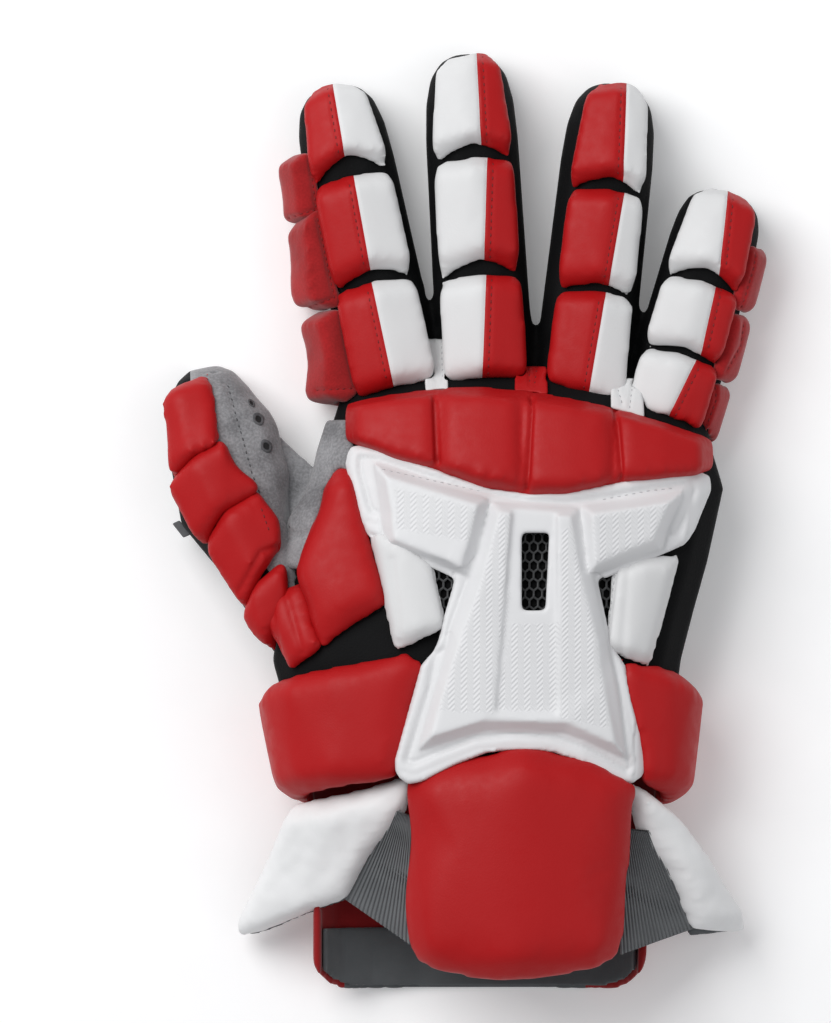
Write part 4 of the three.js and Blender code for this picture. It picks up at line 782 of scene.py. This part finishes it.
# The thumb's four pads, the saddle between the thumb and the hand and the pad at the thumb's root,
# all foam under red leather. Seams cross the pads, and the root pad is sewn into fingers of foam.
THUMB_PADS = (
    ("thumb_pad_1", ()),
    ("thumb_pad_2", ([(-79.4, -23.7), (-71.7, -10.4), (-63.7, -7.9)],)),
    ("thumb_pad_3", ()),
    ("thumb_pad_4", ()),
    ("saddle_pad", ()),
    ("thumb_base_pad", ([(-68.8, -25.8), (-66.1, -45.5)], [(-63.3, -25.3), (-57.4, -45.5)])),
)
THUMB_STITCHES = [(-72.1, 5.4), (-68.8, -4.0)]
THUMB_PULLS = {
    "thumb_pad_1": (((-65.4, -27.2), (2.0, 0.0), 8.0), ((-73.8, -34.2), (-2.0, 0.0), 8.0)),
    "thumb_pad_2": (((-68.9, 10.6), (-4.0, -1.5), 8.0), ((-63.3, -8.6), (-3.0, 0.0), 8.0)),
    "thumb_pad_3": (((-78.4, 39.3), (-9.0, -1.5), 10.0), ((-73.8, 21.1), (-6.5, -1.0), 10.0)),
    "thumb_pad_4": (((-84.3, 29.5), (-3.5, 0.0), 9.0), ((-102.5, 44.2), (-1.5, 1.0), 8.0)),
    "saddle_pad": (
        ((-52.5, -17.4), (-6.5, 0.0), 11.0),
        ((-51.1, -4.4), (-2.5, 0.0), 9.0),
        ((-51.4, -41.2), (0.0, -2.0), 7.0),
    ),
    "thumb_base_pad": (((-64.4, -34.2), (-3.5, 0.0), 9.0), ((-54.2, -27.2), (1.5, 1.0), 7.0)),
}
thumb_covers = foam_pads(
    [row[0] for row in THUMB_PADS], spacing=1.4, rounds=4, most=0.9, grown=1.0, pulls=THUMB_PULLS
)
thumb_thread = bmesh.new()
for cover, (node, seams) in zip(thumb_covers, THUMB_PADS):
    if seams:
        press(cover, seams, depth=0.8, width=1.3)
    if node == "thumb_pad_2":
        sew(thumb_thread, surface_of(cover), THUMB_STITCHES, pitch=2.3)
    dress(cover, [red_leather], "red_leather", node)
sewn_in("thumb_pad_stitches", thumb_thread, red_thread, "red_leather")

# The knuckle roll: one stuffed roll of red leather, drawn in by three seams into four lobes, with a
# long crease near its upper edge.
ROLL_SEAMS = (
    [(-11.2, 43.5), (-10.3, 21.1)],
    [(22.6, 43.5), (20.6, 11.3)],
    [(51.8, 41.4), (53.8, 14.8)],
)
ROLL_CREASES = (
    [(-40.9, 41.4), (-26.2, 43.9), (-10.8, 45.6)],
    [(23.1, 44.9), (37.8, 43.9), (51.5, 39.3)],
    [(54.3, 37.9), (67.6, 34.4), (81.6, 28.8)],
)
# Its lower edge reaches down to the plate
ROLL_EDGE = (
    (-23.4, 24.6), (-9.4, 20.8), (5.3, 15.5), (20.7, 12.0),
    (35.7, 12.4), (50.4, 15.2), (64.1, 17.3), (78.1, 19.0),
)
ROLL_PULLS = {"knuckle_roll": [(place, (0.0, -1.7), 9.0) for place in ROLL_EDGE]}
roll = foam_pads(["knuckle_roll"], spacing=1.25, rounds=5, most=1.0, grown=1.1, pulls=ROLL_PULLS)[0]
press(roll, ROLL_SEAMS, depth=1.5, width=0.9, facing=-0.3)
press(roll, ROLL_CREASES, depth=0.35, width=0.8)
dress(roll, [red_leather], "red_leather", "knuckle_roll")

# The honeycomb mesh that shows beside the plate's tower and through its window: an open knitted
# spacer fabric of black cord, over the shell.
MESH_CORNERS = ((-21.0, 0.0), (62.0, 0.0), (50.0, -46.0), (-8.0, -46.0))
MESH_PITCH = 3.0  # across the hand, from one hole to the next
MESH_ROW = 3.25  # down the hand, from one row of holes to the next
MESH_STRAND = 0.85
MESH_LIFT = 1.0  # above the shell
HEIGHT_STEP = 2.0


def height_map(nodes, rounds):
    """The upper side of the nodes as a smoothed function of the place, in millimetres."""
    body = solid_copy("height_source", nodes)
    surface = surface_of(body)
    bpy.data.objects.remove(body)
    lows, highs = zip(*(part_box(node) for node in nodes))
    low, high = np.min(lows, axis=0)[:2] / MM, np.max(highs, axis=0)[:2] / MM
    xs = np.arange(low[0], high[0] + HEIGHT_STEP, HEIGHT_STEP)
    ys = np.arange(low[1], high[1] + HEIGHT_STEP, HEIGHT_STEP)
    heights = np.full((len(xs), len(ys)), np.nan)
    for i, x in enumerate(xs):
        for j, y in enumerate(ys):
            hit, _ = drop(surface, x, y)
            if hit is not None:
                heights[i, j] = hit.z / MM
    for _ in range(rounds):
        padded = np.pad(heights, 1, constant_values=np.nan)
        around = [
            padded[i : len(xs) + i, j : len(ys) + j] for i in range(3) for j in range(3)
        ]
        known = ~np.isnan(around)
        total = np.where(known, around, 0).sum(axis=0)
        heights = np.where(known.any(axis=0), total / np.maximum(known.sum(axis=0), 1), np.nan)

    def at(x, y):
        u = min(max((x - low[0]) / HEIGHT_STEP, 0), len(xs) - 1.001)
        v = min(max((y - low[1]) / HEIGHT_STEP, 0), len(ys) - 1.001)
        i, j = int(u), int(v)
        s, t = u - i, v - j
        near = heights[i, j] * (1 - s) + heights[i + 1, j] * s
        far = heights[i, j + 1] * (1 - s) + heights[i + 1, j + 1] * s
        return near * (1 - t) + far * t

    return at


def inside(x, y, corners):
    """Whether a place lies inside a plan outline."""
    within = False
    for (ax, ay), (bx, by) in zip(corners, [*corners[1:], corners[0]]):
        if (ay > y) != (by > y) and x < ax + (y - ay) / (by - ay) * (bx - ax):
            within = not within
    return within


mesh_top = height_map(["mesh_panel"], rounds=3)
lattice = bmesh.new()
xs, ys = [x for x, _ in MESH_CORNERS], [y for _, y in MESH_CORNERS]
rows = int((max(ys) - min(ys)) / MESH_ROW)
columns = int((max(xs) - min(xs)) / MESH_PITCH)
reach = MESH_PITCH / 3**0.5
stretch = MESH_ROW / (1.5 * reach)
for row in range(rows):
    y = min(ys) + (row + 0.5) * MESH_ROW
    for column in range(columns):
        x = min(xs) + (column + 0.5 * (row % 2) + 0.25) * MESH_PITCH
        rim = [
            (x + reach * math.sin(k * math.pi / 3), y + stretch * reach * math.cos(k * math.pi / 3))
            for k in range(6)
        ]
        if all(inside(a, b, MESH_CORNERS) for a, b in rim):
            lattice.faces.new([lattice.verts.new((a * MM, b * MM, 0)) for a, b in rim])
bmesh.ops.remove_doubles(lattice, verts=lattice.verts, dist=0.1 * MM)
bmesh.ops.inset_individual(lattice, faces=lattice.faces, thickness=MESH_STRAND / 2 * MM)
holes = [face for face in lattice.faces if len(face.verts) == 6]
bmesh.ops.delete(lattice, geom=holes, context="FACES")
for vertex in lattice.verts:
    vertex.co.z = mesh_top(vertex.co.x / MM, vertex.co.y / MM) * MM
bmesh.ops.recalc_face_normals(lattice, faces=lattice.faces)
honeycomb = piece_of("honeycomb_mesh", lattice)
thicken(honeycomb, MESH_LIFT)
black_cord, tree, shader, place = begin("black_cord", roughness=0.5, specular_ior_level=0.5)
strand = add(tree, "TexNoise", {"Vector": place, "Scale": per_metre(2.0), "Detail": 3.0})
colour_by(tree, shader, strand.outputs["Fac"], "#1E1F20", "#3A3B3C")
emboss(tree, shader, strand.outputs["Fac"], strength=0.4, depth=0.1)
dress(honeycomb, [black_cord], "black_mesh", "mesh_panel")

# The backhand plate: one moulding of firm white foam. A rim bead runs round it with a stitched
# groove inside, and two arms and a tower stand on it. Their flat faces are embossed with a fine
# herringbone, and all else is smooth.
PLATE_OUTLINE = [
    (-41.4, 24.8), (-38.2, 26.7), (-31.1, 26.1), (-12.9, 20.3), (3.9, 15.7), (20.8, 11.9),
    (35.0, 11.2), (50.6, 13.5), (63.6, 16.1), (76.5, 17.7), (81.7, 16.7), (84.3, 11.9),
    (79.8, -0.5), (76.5, -6.9), (69.4, -8.5), (56.7, -13.2), (44.1, -16.7), (45.5, -29.3),
    (47.4, -41.9), (51.9, -48.4), (54.5, -61.4), (60.9, -83.4), (61.4, -87.3), (57.1, -90.9),
    (54.5, -90.5), (41.6, -83.4), (29.8, -78.9), (16.9, -77.8), (3.9, -78.9), (-9.1, -84.1),
    (-18.2, -88.0), (-23.3, -86.7), (-25.6, -83.4), (-22.0, -71.8), (-17.5, -57.5), (-14.9, -43.2),
    (-6.4, -38.7), (-1.3, -21.2), (0.7, -14.7), (-5.2, -9.5), (-16.8, -6.3), (-28.4, -1.8),
    (-36.3, 0.8), (-38.2, 5.4), (-41.4, 17.7), (-41.4, 24.8),
]
LEFT_ARM = [(-25.2, 12.0), (3.2, 5.0), (0.4, -6.5), (-24.5, -2.0)]
RIGHT_ARM = [(41.7, 4.0), (72.5, 9.9), (75.3, 8.5), (69.0, -6.9), (56.4, -11.8), (45.2, -14.9)]
LEFT_RAIL = [
    (7.7, 7.1), (14.7, 5.7), (14.7, -26.5), (12.6, -44.7),
    (8.8, -66.4), (-11.5, -65.3), (-5.6, -42.2), (3.2, -16.0),
]
RIGHT_RAIL = [
    (33.3, -3.0), (39.6, 1.5), (44.1, -16.3), (46.6, -42.2),
    (49.4, -71.6), (32.2, -67.8), (33.3, -36.6),
]
MIDDLE_PANEL = [(15.8, -34.9), (32.2, -34.9), (31.2, -66.4), (10.2, -65.3), (13.7, -44.7)]
BEAD_IN, BEAD_WIDTH, BEAD_HEIGHT = 1.5, 1.9, 0.8  # from the edge, in millimetres
GROOVE_IN, GROOVE_WIDTH, GROOVE_DEPTH = 4.2, 0.6, 0.8
FLANGE_TOP = 6.2  # the highest part of the flange over the hand
HERRINGBONE_ROW, HERRINGBONE_PITCH = 2.2, 1.8

# The plate's edge is grown outwards in plan by what the rounding took off
EDGE_GROWN, EDGE_REACH = 1.2, 4.0
plate = even(solid_copy("plate_moulding", ["backhand_plate"]), spacing=0.75, rounds=2)
spots = spots_of(plate.data)
far = distance_to(spots, PLATE_OUTLINE)
sides = list(zip(PLATE_OUTLINE, PLATE_OUTLINE[1:]))
nearest = np.argmin([distance_to(spots, side) for side in sides], axis=0)
outward = np.array([Vector((ay - by, bx - ax)).normalized() for (ax, ay), (bx, by) in sides])
spots[:, :2] += outward[nearest] * (EDGE_GROWN * MM * np.exp(-((far / EDGE_REACH) ** 4)))[:, None]
move_to(plate.data, spots)
relax(plate, 3)
spots, facings = spots_of(plate.data), facings_of(plate.data)
far = distance_to(spots, PLATE_OUTLINE)
lying = np.clip((facings[:, 2] - 0.8) / 0.15, 0, 1)  # 1 where a face lies flat, 0 on a slope
hand_top = height_map(["hand_shell"], rounds=4)
height_over_hand = np.array([z / MM - hand_top(x / MM, y / MM) for x, y, z in spots])
on_flange = lying * (height_over_hand < FLANGE_TOP)
raised = BEAD_HEIGHT * np.exp(-(((far - BEAD_IN) / BEAD_WIDTH) ** 4))
raised -= GROOVE_DEPTH * np.exp(-(((far - GROOVE_IN) / GROOVE_WIDTH) ** 2))
move_to(plate.data, spots + facings * (raised * on_flange * MM)[:, None])

texture = plate.data.attributes.new("texture", "FLOAT", "POINT")
TEXTURED = (LEFT_ARM, RIGHT_ARM, LEFT_RAIL, RIGHT_RAIL, MIDDLE_PANEL)
shares = [
    float(up > 0.9 and any(inside(x / MM, y / MM, face) for face in TEXTURED))
    for (x, y, _), up in zip(spots, facings[:, 2])
]
texture.data.foreach_set("value", shares)

white_foam, tree, shader, place = begin("white_moulded_foam", roughness=0.5, specular_ior_level=0.4)
across = add(tree, "SeparateXYZ", {"Vector": place})
fold = add(tree, "Math", {0: across.outputs["X"], 1: HERRINGBONE_ROW * MM}, operation="PINGPONG")
slant = add(tree, "Math", {0: across.outputs["Y"], 1: fold.outputs[0]}, operation="ADD")
stripe = add(
    tree, "Math", {0: slant.outputs[0], 1: math.tau / (HERRINGBONE_PITCH * MM)}, operation="MULTIPLY"
)
ridge = add(tree, "Math", {0: stripe.outputs[0]}, operation="SINE")
where = add(tree, "Attribute", attribute_name="texture")
embossed = add(
    tree, "Math", {0: ridge.outputs[0], 1: where.outputs["Fac"]}, operation="MULTIPLY"
)
skin_grain = add(tree, "TexNoise", {"Vector": place, "Scale": per_metre(2.38), "Detail": 4.0})
height = add(
    tree,
    "Math",
    {0: skin_grain.outputs["Fac"], 1: 0.35, 2: embossed.outputs[0]},
    operation="MULTIPLY_ADD",
)
emboss(tree, shader, height.outputs[0], strength=0.5, depth=0.16)
cloud = add(tree, "TexNoise", {"Vector": place, "Scale": per_metre(33.3), "Detail": 3.0})
colour_by(tree, shader, cloud.outputs["Fac"], "#DADADB", "#E4E4E5")
dress(plate, [white_foam], "white_moulded", "backhand_plate")

# Stitches show in the groove along the upper edge
GROOVE_STITCHES = (
    [(-30.4, 18.7), (-12.9, 14.8), (3.9, 11.0)],
    [(46.6, 7.8), (63.4, 11.0), (73.2, 12.0)],
)
plate_thread = bmesh.new()
plate_surface = surface_of(plate)
for line in GROOVE_STITCHES:
    sew(plate_thread, plate_surface, line, pitch=2.6, stitch=(1.5, 0.5, 0.4))
sewn_in("plate_stitches", plate_thread, pale_thread, "white_moulded")

# The white leather pads on both sides of the plate: foam, with a strip along the edge by the mesh.
# node, the seam beside the strip, the soft fold along the middle
HAND_PADS = (
    ("left_hand_pad", [(-12.9, -8.9), (-9.1, -25.1), (-7.7, -34.8)], [(-26.2, -13.2), (-23.4, -41.2)]),
    ("right_hand_pad", [(51.9, -15.4), (48.7, -41.9)], [(56.4, -14.6), (53.8, -47.1)]),
)
HAND_PULLS = {
    "left_hand_pad": (((-23.4, -9.7), (0.0, 2.5), 10.0), ((-31.1, -6.2), (-0.5, 2.0), 7.0)),
    "right_hand_pad": (((60.6, -13.2), (0.0, 1.5), 10.0),),
}
hand_covers = foam_pads(
    [row[0] for row in HAND_PADS], spacing=1.0, rounds=6, most=0.9, grown=1.0, pulls=HAND_PULLS
)
white_thread = bmesh.new()
for cover, (node, seam, middle_fold) in zip(hand_covers, HAND_PADS):
    press(cover, [seam], depth=0.6, width=0.8)
    press(cover, [middle_fold], depth=0.4, width=1.6)
    sew(white_thread, surface_of(cover), seam, pitch=2.3)
    dress(cover, [white_leather], "white_leather", node)
sewn_in("hand_pad_stitches", white_thread, pale_thread, "white_leather")

# The cuff's red pieces: a padded band round each side of the wrist and the stuffed flap over it, in
# plain red leather, gently uneven where the foam gives.


def ripple(piece, height, size):
    """Uneven stuffing: noise moves the piece's upper side, by a height and over a size in millimetres."""
    spots, facings = spots_of(piece.data), facings_of(piece.data)
    waves = np.array([noise.noise(Vector(spot) / (size * MM)) for spot in spots])
    upper = np.clip(facings[:, 2] * 2, 0, 1)
    move_to(piece.data, spots + facings * (waves * upper * height * MM)[:, None])


BAND_PULLS = {
    "left_band": (((-21.7, -51.7), (4.0, 2.5), 9.0), ((-22.7, -72.7), (1.5, 0.0), 10.0)),
    "right_band": (((57.8, -58.7), (-1.5, 0.0), 9.0),),
}
band_covers = foam_pads(
    ["left_band", "right_band"], spacing=1.6, rounds=4, most=0.9, grown=1.3, pulls=BAND_PULLS
)
for cover, node in zip(band_covers, ("left_band", "right_band")):
    ripple(cover, height=0.5, size=22)
    dress(cover, [red_leather], "red_leather", node)
FLAP_PULLS = {
    "cuff_flap": (
        ((18.6, -84.9), (0.0, 2.5), 14.0),
        ((-1.7, -90.2), (0.0, 2.5), 9.0),
        ((40.3, -90.2), (0.0, 2.5), 9.0),
        ((-16.4, -93.7), (-2.5, 1.5), 10.0),
        ((-16.4, -132.2), (-2.5, 0.0), 16.0),
        ((11.6, -154.9), (0.0, -2.5), 24.0),
    )
}
flap = foam_pads(
    ["cuff_flap"], spacing=2.0, rounds=5, most=1.0, grown=1.2, pulls=FLAP_PULLS, free=True
)[0]
ripple(flap, height=0.5, size=30)
dress(flap, [red_leather], "red_leather", "cuff_flap")

# The cuff's wings: white leather over foam, finely crumpled, each on a bare grey lining.
# Lighter than the pads' white leather: painted light that makes up for the shade on the wings, which slope
# away from the lamps
wing_leather_painted_light = leather("wing_white_leather_painted_light", "#E2E2E2", "#F2F2F2", grain=1.0, roughness=0.52)
WING_PULLS = {
    "left_wing": (
        ((-27.6, -91.9), (2.5, 2.0), 9.0),
        ((-29.4, -102.4), (5.5, 0.0), 11.0),
        ((-73.5, -139.2), (-4.0, -4.5), 14.0),
    ),
    "right_wing": (
        ((64.1, -95.4), (-4.5, 2.0), 9.0),
        ((68.3, -109.4), (-6.5, 0.0), 11.0),
        ((92.8, -141.3), (2.5, -1.5), 8.0),
    ),
}
wing_covers = foam_pads(
    ["left_wing", "right_wing"], spacing=1.4, rounds=4, most=0.6, grown=1.5, pulls=WING_PULLS, free=True
)
for cover, node in zip(wing_covers, ("left_wing", "right_wing")):
    ripple(cover, height=0.3, size=5)
    ripple(cover, height=0.4, size=14)
    dress(cover, [wing_leather_painted_light], "white_leather", node)


def woven(name, low, high, pitch, roughness):
    """Plain woven cloth: threads that cross, too fine to see one by one from a step away."""
    made, tree, shader, place = begin(name, roughness=roughness, specular_ior_level=0.2)
    shader.inputs["Sheen Weight"].default_value = 0.2
    warp = add(
        tree, "TexWave", {"Vector": place, "Scale": per_metre(pitch * 3)}, wave_type="BANDS"
    )
    weft = add(
        tree,
        "TexWave",
        {"Vector": place, "Scale": per_metre(pitch * 3)},
        wave_type="BANDS",
        bands_direction="Y",
    )
    cross = add(
        tree, "Math", {0: warp.outputs["Fac"], 1: weft.outputs["Fac"]}, operation="MULTIPLY"
    )
    cloud = add(tree, "TexNoise", {"Vector": place, "Scale": per_metre(11.1), "Detail": 5.0})
    colour_by(tree, shader, cloud.outputs["Fac"], low, high)
    emboss(tree, shader, cross.outputs[0], strength=0.5, depth=0.12)
    return made


grey_lining = woven("grey_lining", "#4A4D4F", "#5C5F61", pitch=0.5, roughness=0.85)
# node, flat size and area of its cloth in metres
WING_LININGS = (
    ("left_wing_lining", (0.05, 0.06), 0.0016),
    ("right_wing_lining", (0.035, 0.055), 0.00095),
)
LINING_PULLS = {
    "left_wing_lining": (((-75.2, -139.2), (-0.5, -3.5), 13.0),),
    "right_wing_lining": (((93.5, -143.4), (-1.5, 0.5), 7.0),),
}
for node, flat_size, flat_area in WING_LININGS:
    lining = even(solid_copy(f"{node}_cloth", [node]), spacing=0.8, rounds=3)
    pull(lining, LINING_PULLS[node])
    dress(lining, [grey_lining], "grey_lining", node)
    wing = node.removesuffix("_lining")

# The elastic gussets between the flap and the wings: ribbed grey elastic, the ribs fanning out from
# the top edge to the hem.
ELASTIC_RIBS = 22
RIB_HEIGHT = 0.9
ELASTIC_THICKNESS = 1.2
ELASTIC_SAG = 1.5  # at the middle of a gusset
ACROSS, DOWN = ELASTIC_RIBS * 6, 24
# node, its corners: top left, top right, bottom right and bottom left
ELASTICS = (
    (
        "left_elastic",
        ((-27.0, -100.0, 43.0), (-17.5, -103.3, 47.5), (-15.6, -150.2, 47.5), (-46.0, -130.0, 25.5)),
    ),
    (
        "right_elastic",
        ((51.6, -106.7, 47.0), (65.5, -108.5, 39.5), (81.5, -142.0, 22.5), (53.5, -150.9, 46.1)),
    ),
)
ribbed_elastic = woven("ribbed_elastic", "#585A5C", "#707274", pitch=0.45, roughness=0.8)
# Each gusset is a grid laid between its corners, sagging in the middle and raised in ribs
for (node, corners), wing in zip(ELASTICS, ("left_wing", "right_wing")):
    top_left, top_right, bottom_right, bottom_left = (Vector(corner) for corner in corners)
    cloth = bmesh.new()
    bmesh.ops.create_grid(cloth, x_segments=ACROSS, y_segments=DOWN, size=0.5)
    for vertex in cloth.verts:
        u, v = vertex.co.x + 0.5, 0.5 - vertex.co.y
        spot = top_left.lerp(top_right, u).lerp(bottom_left.lerp(bottom_right, u), v)
        spot.z -= ELASTIC_SAG * math.sin(math.pi * u) * math.sin(math.pi * v)
        spot.z += RIB_HEIGHT * abs(math.sin(math.pi * ELASTIC_RIBS * u))
        vertex.co = spot * MM
    bmesh.ops.recalc_face_normals(cloth, faces=cloth.faces)
    gusset = piece_of(f"{node}_gusset", cloth)
    thicken(gusset, ELASTIC_THICKNESS)
    dress(gusset, [ribbed_elastic], "grey_elastic", node)

# The palm side of the cuff: a trough of red fabric on foam, darkened with painted shade, with a grey lining
# at its hem.
dark_red_fabric = woven("dark_red_fabric", "#7E0C0F", "#9A1215", pitch=0.5, roughness=0.75)
palm_side = even(solid_copy("palm_side_of_cuff", ["palm_cuff"]), spacing=1.4, rounds=3)
# Its hem is bound in the lining's grey, but for the corners
HEM_LEVEL, HEM_LEFT, HEM_RIGHT = -159.0, -43.0, 42.0
bm = bmesh.new()
bm.from_mesh(palm_side.data)
cut(bm, (0, HEM_LEVEL), (0, 1))
cut(bm, (HEM_LEFT, 0), (1, 0))
cut(bm, (HEM_RIGHT, 0), (1, 0))
for face in bm.faces:
    x, y, _ = face.calc_center_median() / MM
    face.material_index = int(y < HEM_LEVEL and HEM_LEFT < x < HEM_RIGHT)
bm.to_mesh(palm_side.data)
bm.free()
palm_side.data.shade_smooth()
dress(palm_side, [dark_red_fabric, grey_lining], "dark_red_fabric", "palm_cuff")
hem_lining = even(solid_copy("hem_lining", ["cuff_lining"]), spacing=1.2, rounds=2)
dress(hem_lining, [grey_lining], "grey_lining", "cuff_lining")
tab = even(solid_copy("tab_loop", ["thumb_tab"]), spacing=0.4, rounds=1)
dress(tab, [ribbed_elastic], "grey_elastic", "thumb_tab")

size = {"cad": [list(corner) for corner in cad_box], "scene": [list(corner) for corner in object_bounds()]}
